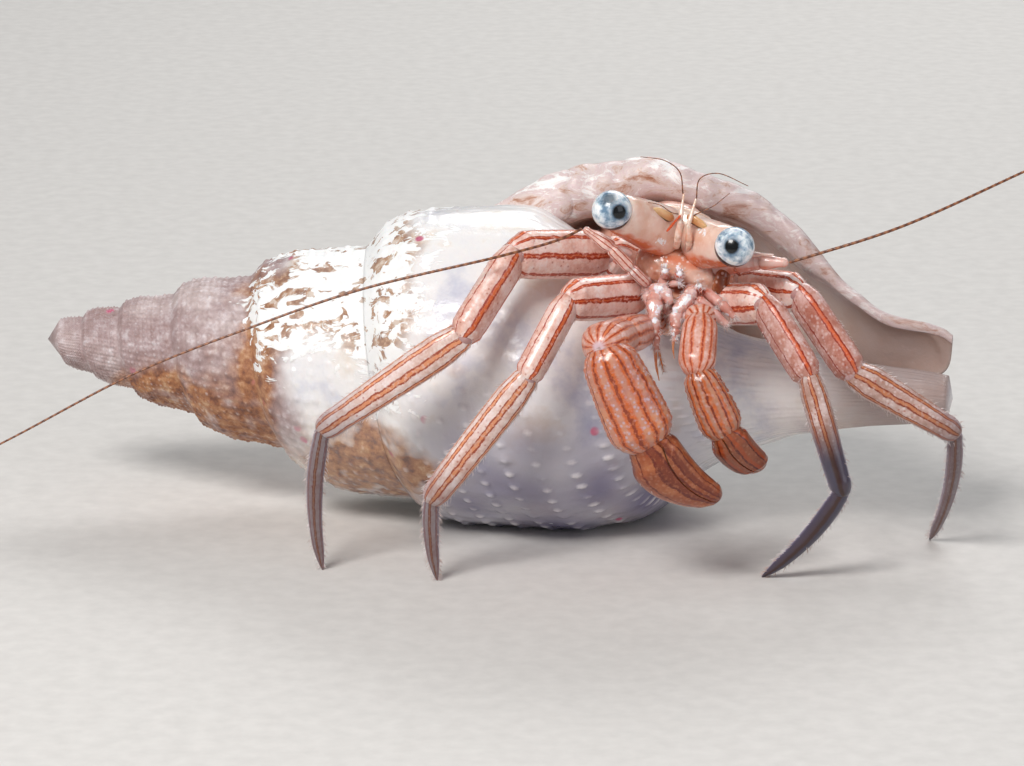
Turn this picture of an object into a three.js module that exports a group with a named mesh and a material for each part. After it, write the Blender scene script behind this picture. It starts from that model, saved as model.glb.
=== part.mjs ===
// Hermit crab looking out of a tall spiral snail shell, life size, as a still model.
// Millimetres, +Z up, the crab faces -Y; the shell lies along X with its apex to -X.
// The shell and the four walking feet rest on the floor, z = 0.
import * as THREE from 'three';

// ---------------------------------------------------------------- driving sizes
const SIDES = 8;                 // sides of a limb's section
const GAP = 0.12;                // clearance between neighbouring pieces

// shell: a spiral drawn about a straight axis; D is the distance from the ideal apex
const TURN = 1.45;               // growth of the spiral per whorl
const SUTURE = 30.1;             // D of the suture where the outer lip meets the whorl before
const CANAL_END = 54.0;          // D of the end of the siphonal canal
const SWELL = 0.055;             // extra swelling of the last whorl but one
const WORN_APEX = 3.0;           // D at which the worn apex ends
const LIP_ANGLE = -25 * Math.PI / 180;   // direction of the outer lip about the axis, 0 = up
const WALL = 0.9;                // thickness of the shell wall
const BENEATH_AT = 0.43;         // turns behind the lip of the section underneath
const CAVITY_INSET = 1.2;        // start of the cavity past the suture, at the lip
const CAVITY_STEP_IN = 3.0;      // how far the cavity draws back from the canal's open end
const CAVITY_DRAW_IN = 22;       // further drawing back, per turn
const CAVITY_STEPS = 11;         // steps of the cavity behind the lip
const CANAL_STEPS = 3;           // steps over which the canal stands open at its end
const STEPS = 24;                // steps per whorl
const WHORLS = 6;                // whorls between the worn apex and the lip
const APEX_AT = new THREE.Vector3(-26.1, 6.1, 8.7);   // middle of the worn apex
const CANAL_AT = new THREE.Vector3(23.7, -4.5, 8.15);  // middle of the canal's end
// a whorl between two sutures: radius over D against D over the first suture's D
const WHORL = [[1, 0.3], [1.06, 0.34], [1.15, 0.342], [1.3, 0.318], [1.45, 0.3]];
// last whorl: radius against share of the way from suture to canal end; at the lip,
// underneath, and at the start of the aperture
const AT_LIP = [[0, 9.6], [0.03, 11.1], [0.15, 12.2], [0.264, 12.6], [0.406, 11.8],
  [0.502, 11.2], [0.619, 9.15], [0.715, 6.75], [0.778, 5.5], [0.854, 4.4], [0.97, 3.9], [1, 3.5]];
const BENEATH = [[0, 7.8], [0.034, 8.5], [0.097, 8.7], [0.28, 8.6], [0.418, 7.9],
  [0.51, 5.3], [0.619, 3.4], [0.718, 2.4], [0.8, 2.05], [0.894, 1.7], [0.97, 1.4], [1, 1.0]];
const AT_START = [[0, 6.23], [0.043, 7.8], [0.097, 8.55], [0.188, 8.95], [0.281, 9.1],
  [0.338, 8.3], [0.398, 7.0], [0.458, 5.6], [0.519, 4.5], [0.579, 3.6], [0.654, 2.8],
  [0.735, 2.3], [0.82, 1.6], [0.95, 1.4], [1, 1.2]];

// crab: frame of the head and thorax
const BODY_AT = new THREE.Vector3(9.2, -2.0, 15.9);
const BODY_PITCH = 8 * Math.PI / 180;    // nose down
const BODY_ROLL = 17 * Math.PI / 180;    // the crab's right side up
const EYE_RADIUS = 1.07;
const ABDOMEN_AT = 5.9;                  // middle of the tail past the cavity's start, at the lip
const ABDOMEN_HALF = 4.3;                // half its width, at the lip
const ABDOMEN_CLEAR = 0.35;              // clearance of the tail to the cavity's walls

// ---------------------------------------------------------------- small helpers
const V = (x, y, z) => new THREE.Vector3(x, y, z);
const P = (a) => new THREE.Vector3(a[0], a[1], a[2]);
const lerp = (a, b, t) => a + (b - a) * t;
const clamp = (x, a, b) => Math.min(b, Math.max(a, x));

// value of a table [[x, y], ...] at x, joined by straight lines
function table(rows, x) {
  if (x <= rows[0][0]) return rows[0][1];
  for (let i = 1; i < rows.length; i++) {
    if (x <= rows[i][0]) {
      const t = (x - rows[i - 1][0]) / (rows[i][0] - rows[i - 1][0]);
      return lerp(rows[i - 1][1], rows[i][1], t);
    }
  }
  return rows[rows.length - 1][1];
}

function material(hex, roughness) {
  return new THREE.MeshStandardMaterial({ color: hex, roughness, metalness: 0 });
}

const object = new THREE.Group();
object.name = 'hermit_crab';

function addMesh(name, points, faces, hex, roughness) {
  const geometry = new THREE.BufferGeometry();
  const flat = new Float32Array(points.length * 3);
  points.forEach((p, i) => flat.set([p.x, p.y, p.z], i * 3));
  geometry.setAttribute('position', new THREE.BufferAttribute(flat, 3));
  geometry.setIndex(faces.flat());
  geometry.computeVertexNormals();
  const mesh = new THREE.Mesh(geometry, material(hex, roughness));
  mesh.name = name;
  object.add(mesh);
}

// closed skin over a row of rings with equal counts, each end closed by a fan
function addLoft(name, rings, hex, roughness, startPoint, endPoint) {
  const n = rings[0].length;
  const points = rings.flat();
  const faces = [];
  for (let i = 0; i + 1 < rings.length; i++) {
    for (let k = 0; k < n; k++) {
      const a = i * n + k;
      const b = i * n + (k + 1) % n;
      faces.push([a, b, b + n], [a, b + n, a + n]);
    }
  }
  const middle = (ring) => ring.reduce((s, p) => s.add(p), V(0, 0, 0)).divideScalar(n);
  const first = points.push(startPoint || middle(rings[0])) - 1;
  const last = points.push(endPoint || middle(rings[rings.length - 1])) - 1;
  const base = (rings.length - 1) * n;
  for (let k = 0; k < n; k++) {
    faces.push([first, (k + 1) % n, k], [last, base + k, base + (k + 1) % n]);
  }
  let volume = 0;
  for (const [a, b, c] of faces) {
    volume += points[a].dot(points[b].clone().cross(points[c]));
  }
  if (volume < 0) faces.forEach((f) => f.reverse());
  addMesh(name, points, faces, hex, roughness);
}

// ---------------------------------------------------------------- shell surface
const axisX = CANAL_AT.clone().sub(APEX_AT).normalize();
const axisY = V(0, 0, 1).cross(axisX).normalize();
const axisZ = axisX.clone().cross(axisY);
const axisStart = APEX_AT.clone().addScaledVector(axisX, -WORN_APEX);

// point of the shell at q turns behind the lip, at D along the axis and radius r from it
function onShell(q, D, r) {
  const angle = LIP_ANGLE - 2 * Math.PI * q;
  const p = axisStart.clone().addScaledVector(axisX, D);
  p.addScaledVector(axisY, -Math.sin(angle) * r);
  p.addScaledVector(axisZ, Math.cos(angle) * r);
  p.z = Math.max(p.z, 0);
  return p;
}

const suture = (q) => SUTURE * Math.pow(TURN, -q);
const share = (q, D) => (D - suture(q)) / (CANAL_END - suture(q));

// radius of the outer surface q turns behind the lip, at D
function outer(q, D) {
  if (q > 1 && D <= suture(q - 1)) {
    const bulge = SWELL * clamp((1.75 - q) / 0.35, 0, 1);
    const way = clamp((D / suture(q) - 1) / (TURN - 1), 0, 1);
    return D * table(WHORL, D / suture(q)) * (1 + bulge * Math.sin(Math.PI * way));
  }
  if (q > 1) {
    const u = share(q - 1, D);
    const same = lerp(SUTURE, CANAL_END, u);
    return table(AT_START, share(1, same)) * lerp(suture(q - 1) / SUTURE, 1, u);
  }
  const g = share(q, D);
  if (q < BENEATH_AT) return lerp(table(AT_LIP, g), table(BENEATH, g), q / BENEATH_AT);
  return lerp(table(BENEATH, g), table(AT_START, g), (q - BENEATH_AT) / (1 - BENEATH_AT));
}

// the cavity runs from beside the suture to beside the canal
const OPEN = CANAL_STEPS / STEPS;
const cavityStart = (q) => suture(q) + CAVITY_INSET * Math.pow(TURN, -q);
function cavityEnd(q) {
  const past = Math.max(0, q - OPEN);
  return CANAL_END - CAVITY_STEP_IN * Math.min(1, past / 0.1) - CAVITY_DRAW_IN * past;
}
const cavityFloor = (q, D) => outer(q + 1, D);
const cavityRoof = (q, D) => Math.max(outer(q, D) - WALL, cavityFloor(q, D) + 0.25);

function addShell() {
  const points = [];
  const faces = [];
  const put = (p) => points.push(p) - 1;
  const quad = (a, b, c, d) => faces.push([a, b, c], [a, c, d]);
  const bands = [1, 1.05, 1.14, 1.24, 1.34];   // rings of a whorl, D over its suture's D
  const BANDS = bands.length;
  const COLS = 11;
  const total = WHORLS * STEPS;
  const start = total - STEPS;
  const back = (i) => (total - i) / STEPS;

  // whorls: band 0 is a suture, the last band of one whorl is band 0 of the next
  const whorl = [];
  for (let i = 0; i <= total; i++) {
    const q = back(i);
    whorl.push([]);
    for (let j = 0; j < BANDS; j++) {
      const D = suture(q) * bands[j];
      whorl[i].push(put(onShell(q, D, outer(q, D))));
    }
  }
  // base of the last whorl, and the same surface running on into the cavity as its floor
  const base = [];
  for (let i = start - CAVITY_STEPS; i <= total; i++) {
    const q = back(i);
    const from = cavityStart(q - 1);
    const to = q > 1 ? cavityEnd(q - 1) : CANAL_END;
    const joint = suture(q - 1);
    const row = [i <= start ? whorl[i + STEPS][0] : put(onShell(q, joint, outer(q, joint)))];
    for (let b = 1; b <= COLS; b++) {
      const D = lerp(from, to, (b - 1) / (COLS - 1));
      row.push(put(onShell(q, D, outer(q, D))));
    }
    base[i] = row;
  }
  for (let i = 0; i < total; i++) {
    for (let j = 0; j < BANDS; j++) {
      const next = (k) => (j + 1 < BANDS ? whorl[k][j + 1]
        : k <= start ? whorl[k + STEPS][0] : base[k][0]);
      quad(whorl[i][j], whorl[i + 1][j], next(i + 1), next(i));
    }
  }
  for (let i = start - CAVITY_STEPS; i < total; i++) {
    for (let b = i < start ? 1 : 0; b < COLS; b++) {
      quad(base[i][b], base[i + 1][b], base[i + 1][b + 1], base[i][b + 1]);
    }
  }
  // roof of the cavity; it parts from the floor at the canal's open end
  const roof = [];
  const deep = total - CAVITY_STEPS;
  for (let i = deep; i <= total; i++) {
    const q = back(i);
    const row = [base[i - STEPS][1]];
    for (let c = 1; c < COLS - 1; c++) {
      const D = lerp(cavityStart(q), cavityEnd(q), c / (COLS - 1));
      row.push(put(onShell(q, D, cavityRoof(q, D))));
    }
    if (i > total - CANAL_STEPS) {
      const mouth = lerp(outer(0, CANAL_END) - WALL, outer(1, CANAL_END), q / OPEN);
      row.push(put(onShell(q, CANAL_END, mouth)));
    } else {
      row.push(base[i - STEPS][COLS]);
    }
    roof[i] = row;
  }
  for (let i = deep; i < total; i++) {
    for (let c = 0; c + 1 < COLS; c++) {
      quad(roof[i][c], roof[i][c + 1], roof[i + 1][c + 1], roof[i + 1][c]);
    }
  }
  // wall at the back of the cavity
  for (let c = 0; c + 1 < COLS; c++) {
    quad(base[deep - STEPS][c + 1], base[deep - STEPS][c + 2], roof[deep][c + 1], roof[deep][c]);
  }
  // edge of the outer lip, between the outer profile and the roof
  const along = (k) => points[k].clone().sub(axisStart).dot(axisX);
  const out = [...whorl[total], ...base[total]];
  const inn = roof[total];
  let a = 0;
  let b = 0;
  while (a + 1 < out.length || b + 1 < inn.length) {
    const canOut = a + 1 < out.length;
    const canIn = b + 1 < inn.length;
    if (canOut && (!canIn || along(out[a + 1]) <= along(inn[b + 1]))) {
      faces.push([inn[b], out[a + 1], out[a]]);
      a += 1;
    } else {
      faces.push([inn[b], inn[b + 1], out[a]]);
      b += 1;
    }
  }
  // end of the canal: the columella's end, and the end of the lip's wall beside the notch
  const canal = put(axisStart.clone().addScaledVector(axisX, CANAL_END + 0.3));
  const rim = [];
  for (let i = start - CANAL_STEPS; i <= total - CANAL_STEPS; i++) rim.push(base[i][COLS]);
  rim.forEach((p, i) => faces.push([p, rim[(i + 1) % rim.length], canal]));
  for (let i = total - CANAL_STEPS; i < total; i++) {
    quad(base[i][COLS], base[i + 1][COLS], roof[i + 1][COLS - 1], roof[i][COLS - 1]);
  }
  // the worn apex
  const apex = put(axisStart.clone().addScaledVector(axisX, suture(back(0)) - 0.5));
  for (let i = 0; i < STEPS; i++) faces.push([whorl[i + 1][0], whorl[i][0], apex]);
  for (let j = 0; j < BANDS; j++) {
    faces.push([whorl[0][j], j + 1 < BANDS ? whorl[0][j + 1] : whorl[STEPS][0], apex]);
  }
  const solid = faces.filter((f) => f[0] !== f[1] && f[1] !== f[2] && f[2] !== f[0]);
  addMesh('shell', points, solid, 0xe9dccb, 0.45);
}
addShell();

// ---------------------------------------------------------------- body in the shell
// head and thorax: forward, right and up of the crab
const forward = V(0, -Math.cos(BODY_PITCH), -Math.sin(BODY_PITCH));
const right = V(-Math.cos(BODY_ROLL), 0, Math.sin(BODY_ROLL));
right.addScaledVector(forward, -right.dot(forward)).normalize();
const up = right.clone().cross(forward);
function bodyPoint(f, r, u) {
  const p = BODY_AT.clone().addScaledVector(forward, f);
  return p.addScaledVector(right, r).addScaledVector(up, u);
}
// rings across the body: [forward, half width, height] with a flat side at one level
function addBodyPiece(name, rows, level, side, hex) {
  const n = 12;
  const rings = rows.map(([f, half, height]) => {
    const ring = [];
    for (let k = 0; k <= n; k++) {
      const a = Math.PI * k / n;
      ring.push(bodyPoint(f, half * Math.cos(a), level + side * height * Math.sin(a) ** 0.8));
    }
    return ring;
  });
  addLoft(name, rings, hex, 0.4);
}
const FLESH = 0xe7a287;
addBodyPiece('carapace_shield', [[-2.2, 2.1, 1.5], [-1.6, 2.3, 1.75], [0, 2.35, 1.9],
  [1.8, 2.1, 1.75], [2.8, 1.7, 1.35], [3.3, 1.1, 0.8]], 0.1, 1, FLESH);
addBodyPiece('thorax', [[-3.1, 1.9, 1.6], [-1.6, 2.2, 2.2], [0.3, 1.9, 2.3],
  [1.9, 1.3, 2.1], [3.0, 0.9, 1.6]], 0.0, -1, FLESH);
addBodyPiece('carapace_rear', [[-4.4, 1.5, 1.2], [-3.6, 1.9, 1.45], [-2.32, 2.1, 1.5]],
  0.1, 1, 0xdfae9c);

// abdomen: soft tail filling the cavity, in three lengths; turns behind the lip
function addAbdomen(name, fromTurn, toTurn, hex) {
  const rings = [];
  for (let i = 0; i <= 4; i++) {
    const q = lerp(fromTurn, toTurn, i / 4);
    const scale = Math.pow(TURN, -q);
    const mid = cavityStart(q) + ABDOMEN_AT * scale;
    const ring = [];
    for (let k = 0; k < 12; k++) {
      const a = 2 * Math.PI * k / 12;
      const D = mid + ABDOMEN_HALF * scale * Math.cos(a);
      const low = cavityFloor(q, D) + ABDOMEN_CLEAR;
      const high = cavityRoof(q, D) - ABDOMEN_CLEAR;
      const mean = (low + high) / 2;
      const half = Math.max(0.2, (high - low) / 2);
      ring.push(onShell(q, D, mean + half * Math.sin(a)));
    }
    rings.push(ring);
  }
  addLoft(name, rings, hex, 0.35);
}
addAbdomen('abdomen_front', 0.055, 0.165, 0xdcab9a);
addAbdomen('abdomen_middle', 0.172, 0.30, 0xdcab9a);
addAbdomen('abdomen_rear', 0.307, 0.44, 0xd6a08f);

// ---------------------------------------------------------------- limbs
// One length of a limb between two joints.  Its end planes are mitred with the
// neighbours; widths are [start, first third, last third, end] across and through.
function addLength(name, a, b, planeA, planeB, wide, deep, side, opts, hex) {
  const axis = b.clone().sub(a);
  const length = axis.length();
  axis.normalize();
  const across = side.clone().addScaledVector(axis, -side.dot(axis)).normalize();
  const through = axis.clone().cross(across);
  const stations = opts.stations || [0, 0.14, 0.5, 0.86, 1];
  const where = [0, 0.14, 0.86, 1];
  const pick = (row, t) => table(where.map((w, i) => [w, row[i]]), t);
  const startGap = opts.startGap ?? GAP / 2;
  const endGap = opts.endGap ?? GAP / 2;
  const sides = opts.sides || SIDES;
  const rings = stations.map((t) => {
    const centre = a.clone().addScaledVector(axis, lerp(startGap, length - endGap, t));
    if (opts.bow) centre.addScaledVector(opts.bow, 4 * t * (1 - t));
    const ring = [];
    for (let k = 0; k < sides; k++) {
      const angle = 2 * Math.PI * (k + 0.5) / sides;
      let sideways = pick(wide, t) / 2 * Math.cos(angle);
      if (opts.split) {
        const [from, to, way] = opts.split;
        const edge = lerp(from, to, t) + way * GAP / 2;
        sideways = way > 0 ? Math.max(edge, sideways) : Math.min(edge, sideways);
      }
      const offset = across.clone().multiplyScalar(sideways);
      offset.addScaledVector(through, pick(deep, t) / 2 * Math.sin(angle));
      const leanA = -offset.dot(planeA) / axis.dot(planeA) * Math.max(0, 1 - 2 * t);
      const leanB = -offset.dot(planeB) / axis.dot(planeB) * Math.max(0, 2 * t - 1);
      ring.push(centre.clone().add(offset).addScaledVector(axis, leanA + leanB));
    }
    return ring;
  });
  if (opts.foot) rings[rings.length - 1].forEach((p) => { p.z = 0; });
  addLoft(name, rings, hex, 0.4);
}

// A limb: joints is the row of joint points, lengths one row per piece
// [name, wide, deep, options]; consecutive pieces share a mitre plane.
function addLimb(joints, lengths, side, hex) {
  const pts = joints.map(P);
  const dirs = lengths.map((_, i) => pts[i + 1].clone().sub(pts[i]).normalize());
  lengths.forEach(([name, wide, deep, opts = {}], i) => {
    const before = i ? dirs[i - 1] : (opts.before || dirs[i]).clone().normalize();
    const planeA = before.clone().add(dirs[i]).normalize();
    let planeB = i + 1 < dirs.length ? dirs[i].clone().add(dirs[i + 1]).normalize() : dirs[i];
    if (opts.foot) planeB = V(0, 0, -1);
    addLength(name, pts[i], pts[i + 1], planeA, planeB, wide, deep, side, opts, hex);
  });
}

const claw = 0xd97a4b;
const leg = 0xe39a7c;
const viewSide = V(0.25, 0, 1);
const footOpts = (bow) => ({ foot: true, endGap: 0, bow, stations: [0, 0.12, 0.3, 0.5, 0.7, 0.86, 1] });

// walking legs: joints from the thorax to the foot on the floor
addLimb([[6.85, -3.3, 15.25], [5.1, -4.6, 16.2], [0.1, -8, 17.0], [-2.6, -10.5, 13.2],
  [-10.1, -10.5, 8.0], [-10.2, -10.0, 0]], [
  ['leg_right_outer_hip', [1.9, 2.2, 2.3, 1.9], [1.7, 1.9, 1.9, 1.6]],
  ['leg_right_outer_merus', [2.2, 2.75, 2.7, 2.1], [1.4, 1.7, 1.7, 1.4]],
  ['leg_right_outer_carpus', [1.9, 2.2, 2.2, 1.7], [1.4, 1.6, 1.6, 1.3]],
  ['leg_right_outer_propodus', [1.6, 1.9, 1.55, 1.2], [1.2, 1.4, 1.2, 1.0]],
  ['leg_right_outer_dactylus', [1.0, 1.15, 0.7, 0.55], [0.9, 1.0, 0.65, 0.55],
    footOpts(V(-0.7, 0, 0))],
], viewSide, leg);
addLimb([[7.7, -4.7, 14.4], [6.9, -6.1, 14.3], [3.0, -9.6, 14.9], [0.8, -11.6, 11.2],
  [-4.3, -12.2, 4.6], [-4.0, -11.9, 0]], [
  ['leg_right_inner_hip', [1.2, 1.5, 1.7, 1.5], [1.0, 1.3, 1.5, 1.3]],
  ['leg_right_inner_merus', [1.9, 2.5, 2.4, 1.8], [1.4, 1.7, 1.7, 1.4]],
  ['leg_right_inner_carpus', [1.5, 1.7, 1.7, 1.4], [1.2, 1.5, 1.5, 1.2]],
  ['leg_right_inner_propodus', [1.4, 1.75, 1.6, 1.1], [1.1, 1.4, 1.3, 1.0]],
  ['leg_right_inner_dactylus', [0.95, 1.0, 0.7, 0.55], [0.85, 0.9, 0.65, 0.55],
    footOpts(V(-0.25, 0, 0))],
], viewSide, leg);
addLimb([[10.25, -4.8, 14.0], [11.0, -6.2, 13.8], [13.4, -9.6, 14.7], [15.7, -11.8, 11.3],
  [17.5, -13, 5.3], [13.4, -11.3, 0]], [
  ['leg_left_inner_hip', [1.2, 1.5, 1.7, 1.5], [1.0, 1.3, 1.5, 1.3]],
  ['leg_left_inner_merus', [1.8, 2.3, 2.3, 1.8], [1.4, 1.7, 1.7, 1.4]],
  ['leg_left_inner_carpus', [1.7, 2.2, 2.1, 1.6], [1.3, 1.5, 1.5, 1.2]],
  ['leg_left_inner_propodus', [1.5, 1.8, 1.55, 1.2], [1.2, 1.4, 1.25, 1.0]],
  ['leg_left_inner_dactylus', [1.05, 1.1, 0.7, 0.55], [0.9, 0.95, 0.65, 0.55],
    footOpts(V(0.3, 0, -0.2))],
], V(-0.25, 0, 1), leg);
addLimb([[11.5, -3.5, 14.6], [12.6, -4.6, 14.4], [15.4, -7.5, 14.8], [18.2, -9.5, 10.9],
  [23.7, -10, 7.7], [23.0, -4.4, 0]], [
  ['leg_left_outer_hip', [1.5, 1.8, 1.9, 1.6], [1.4, 1.6, 1.7, 1.4]],
  ['leg_left_outer_merus', [1.8, 2.2, 2.2, 1.8], [1.4, 1.7, 1.7, 1.4]],
  ['leg_left_outer_carpus', [1.7, 2.1, 2.1, 1.6], [1.3, 1.5, 1.5, 1.2]],
  ['leg_left_outer_propodus', [1.5, 1.8, 1.45, 1.15], [1.2, 1.4, 1.2, 1.0]],
  ['leg_left_outer_dactylus', [0.9, 0.95, 0.65, 0.55], [0.85, 0.9, 0.6, 0.55],
    footOpts(V(0.4, -0.3, 0))],
], V(-0.25, 0, 1), leg);

// claw limbs; the right is the larger
const clawSide = V(1, 0, 0.15);
const fingerOpts = { stations: [0, 0.14, 0.4, 0.65, 0.86, 1], sides: 12 };
addLimb([[8.35, -5.9, 13.2], [7.3, -8.2, 13.0], [5.7, -12.4, 13.6], [4.7, -15.3, 13.9],
  [7.2, -15.3, 8.4], [10.7, -13.5, 5.1]], [
  ['claw_right_hip', [1.2, 1.4, 1.6, 1.5], [1.0, 1.2, 1.3, 1.2]],
  ['claw_right_merus', [1.5, 1.8, 2.2, 2.0], [1.4, 1.7, 2.1, 1.8]],
  ['claw_right_carpus', [2.0, 2.4, 2.6, 2.2], [1.8, 2.1, 2.3, 2.0]],
  ['claw_right_palm', [2.1, 3.0, 3.6, 3.3], [1.9, 2.4, 2.7, 2.3]],
  ['claw_right_finger', [3.1, 3.3, 2.2, 0.9], [2.0, 2.0, 1.4, 0.8],
    { ...fingerOpts, split: [0.85, 0.1, -1], bow: V(-0.35, 0, -0.35) }],
], clawSide, claw);
addLimb([[7.2, -15.3, 8.4], [10.7, -13.5, 5.1]], [
  ['claw_right_fixed_finger', [3.1, 3.3, 2.2, 0.9], [2.0, 2.0, 1.4, 0.8],
    { ...fingerOpts, split: [0.85, 0.1, 1], bow: V(-0.35, 0, -0.35), before: V(2.5, 0, -5.5) }],
], clawSide, claw);
addLimb([[9.4, -5.9, 13.4], [9.9, -7.9, 13.6], [10.0, -11, 14.2], [9.7, -13, 12.0],
  [11.3, -13.5, 8.5], [13.0, -12.0, 6.4]], [
  ['claw_left_hip', [1.0, 1.2, 1.3, 1.2], [0.9, 1.1, 1.2, 1.1]],
  ['claw_left_merus', [1.1, 1.3, 1.6, 1.5], [1.1, 1.3, 1.6, 1.4]],
  ['claw_left_carpus', [1.4, 1.9, 2.0, 1.7], [1.3, 1.6, 1.7, 1.5]],
  ['claw_left_palm', [1.5, 1.95, 2.3, 2.2], [1.3, 1.6, 1.8, 1.6]],
  ['claw_left_finger', [2.1, 2.2, 2.0, 1.2], [1.4, 1.4, 1.1, 0.7],
    { ...fingerOpts, split: [-0.1, -0.05, 1], bow: V(-0.12, 0, -0.12) }],
], clawSide, claw);
addLimb([[11.3, -13.5, 8.5], [13.0, -12.0, 6.4]], [
  ['claw_left_fixed_finger', [2.1, 2.2, 2.0, 1.2], [1.4, 1.4, 1.1, 0.7],
    { ...fingerOpts, split: [-0.1, -0.05, -1], bow: V(-0.12, 0, -0.12), before: V(1.6, -0.5, -3.5) }],
], clawSide, claw);

// ---------------------------------------------------------------- eyes
// A stalk from the head, and the round eye that caps it, cut flat where they meet.
function addEye(sideName, root, centre) {
  const c = P(centre);
  const axis = c.clone().sub(P(root)).normalize();
  const cut = 0.62 * EYE_RADIUS;
  const seat = c.clone().addScaledVector(axis, -cut);
  addLimb([root, [seat.x, seat.y, seat.z]], [
    [`eyestalk_${sideName}`, [1.15, 1.35, 1.5, 1.6], [1.1, 1.3, 1.45, 1.6],
      { sides: 10, startGap: 0, endGap: GAP }],
  ], V(0, 0, 1), 0xe58f6a);
  const across = V(0, 0, 1).addScaledVector(axis, -axis.z).normalize();
  const through = axis.clone().cross(across);
  const rings = [];
  const first = -Math.asin(cut / EYE_RADIUS);
  for (let i = 0; i < 8; i++) {
    const lat = lerp(first, Math.PI / 2 - 0.12, i / 7);
    const ring = [];
    for (let k = 0; k < 14; k++) {
      const a = 2 * Math.PI * k / 14;
      const p = c.clone().addScaledVector(axis, EYE_RADIUS * Math.sin(lat));
      p.addScaledVector(across, EYE_RADIUS * Math.cos(lat) * Math.cos(a));
      p.addScaledVector(through, EYE_RADIUS * Math.cos(lat) * Math.sin(a));
      ring.push(p);
    }
    rings.push(ring);
  }
  addLoft(`eye_${sideName}`, rings, 0xdfe6ec, 0.15);
}
addEye('right', [8.0, -6.0, 17.75], [5.3, -9.2, 19.7]);
addEye('left', [10.15, -6.0, 17.2], [11.8, -9.6, 17.8]);

// ---------------------------------------------------------------- feelers and mouth
// Round tube along a smooth curve through the points, from share a to share b of it.
function addTube(name, curvePoints, radiusA, radiusB, shareA, shareB, steps, hex) {
  const curve = new THREE.CatmullRomCurve3(curvePoints.map(P), false, 'centripetal');
  const length = curve.getLength();
  const from = shareA > 0 ? shareA + GAP / 2 / length : 0;
  const to = shareB < 1 ? shareB - GAP / 2 / length : 1;
  let across = V(0, 0.3, 1);
  const rings = [];
  for (let i = 0; i <= steps; i++) {
    const t = lerp(from, to, i / steps);
    const centre = curve.getPointAt(t);
    const axis = curve.getTangentAt(t);
    across = across.clone().addScaledVector(axis, -across.dot(axis)).normalize();
    const through = axis.clone().cross(across);
    const r = lerp(radiusA, radiusB, t);
    const ring = [];
    for (let k = 0; k < 6; k++) {
      const a = 2 * Math.PI * k / 6;
      const p = centre.clone().addScaledVector(across, r * Math.cos(a));
      ring.push(p.addScaledVector(through, r * Math.sin(a)));
    }
    rings.push(ring);
  }
  addLoft(name, rings, hex, 0.5);
}
const whipRight = [[3.75, -8.5, 18.55], [2.6, -9.0, 18.1], [-0.4, -10.2, 17.5], [-8.0, -10.5, 15.7],
  [-13.8, -10.7, 13.7], [-19.9, -11, 11.3], [-27.2, -11.5, 7.5], [-33.5, -11.6, 4.4]];
const whipLeft = [[14.75, -8.8, 16.75], [20.6, -8.5, 18.6], [27.3, -7, 21.3], [34, -3.6, 23.6],
  [40, 1.5, 24.8], [44, 6.5, 24.6]];
const thirds = [0, 0.34, 0.67, 1];
['inner', 'middle', 'outer'].forEach((part, i) => {
  const a = thirds[i];
  const b = thirds[i + 1];
  addTube(`antenna_right_${part}`, whipRight, 0.28, 0.25, a, b, 6, 0x8d5a3c);
  addTube(`antenna_left_${part}`, whipLeft, 0.28, 0.25, a, b, 6, 0x8d5a3c);
});
addTube('antenna_right_base', [[7.2, -7.6, 15.3], [5.6, -8.6, 17.2], [4.1, -8.5, 18.3]],
  0.5, 0.42, 0, 1, 5, 0xe08f66);
addTube('antenna_left_base', [[10.9, -6.7, 15.8], [12.5, -7.8, 16.6], [14.35, -8.7, 16.7]],
  0.5, 0.42, 0, 1, 5, 0xe08f66);
addTube('antennule_right_base', [[8.85, -7.0, 17.0], [9.0, -7.6, 18.6], [9.15, -7.7, 20.2]],
  0.28, 0.25, 0, 1, 4, 0xd9926f);
addTube('antennule_left_base', [[9.5, -7.0, 16.9], [9.75, -7.6, 18.5], [9.8, -7.7, 19.9]],
  0.28, 0.25, 0, 1, 4, 0xd9926f);
addTube('antennule_right_flagellum', [[9.12, -7.7, 20.35], [8.9, -7.8, 21.5], [8.1, -7.8, 22.1],
  [6.8, -7.8, 22.3]], 0.25, 0.25, 0, 1, 6, 0x9a5f49);
addTube('antennule_left_flagellum', [[9.82, -7.7, 20.05], [10.0, -7.8, 21.1], [10.9, -7.8, 21.4],
  [12.6, -7.8, 20.7]], 0.25, 0.25, 0, 1, 6, 0x9a5f49);
addTube('maxilliped_right', [[8.3, -7.05, 15.2], [8.0, -9.2, 15.2], [7.85, -10.7, 14.0],
  [7.75, -10.7, 12.3], [7.85, -10.3, 10.6]], 0.36, 0.26, 0, 1, 9, 0xe6a890);
addTube('maxilliped_left', [[9.1, -7.05, 15.1], [8.95, -9.2, 15.0], [8.75, -10.4, 13.8],
  [8.6, -10.4, 12.9], [8.55, -10.0, 12.0]], 0.36, 0.26, 0, 1, 9, 0xe6a890);
addLimb([[8.85, -5.4, 15.4], [8.8, -6.9, 15.4]], [
  ['mouthparts', [1.2, 1.6, 1.5, 1.1], [1.8, 2.1, 2.0, 1.6], { sides: 10 }],
], right, 0xc9754a);

export default object;
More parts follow.
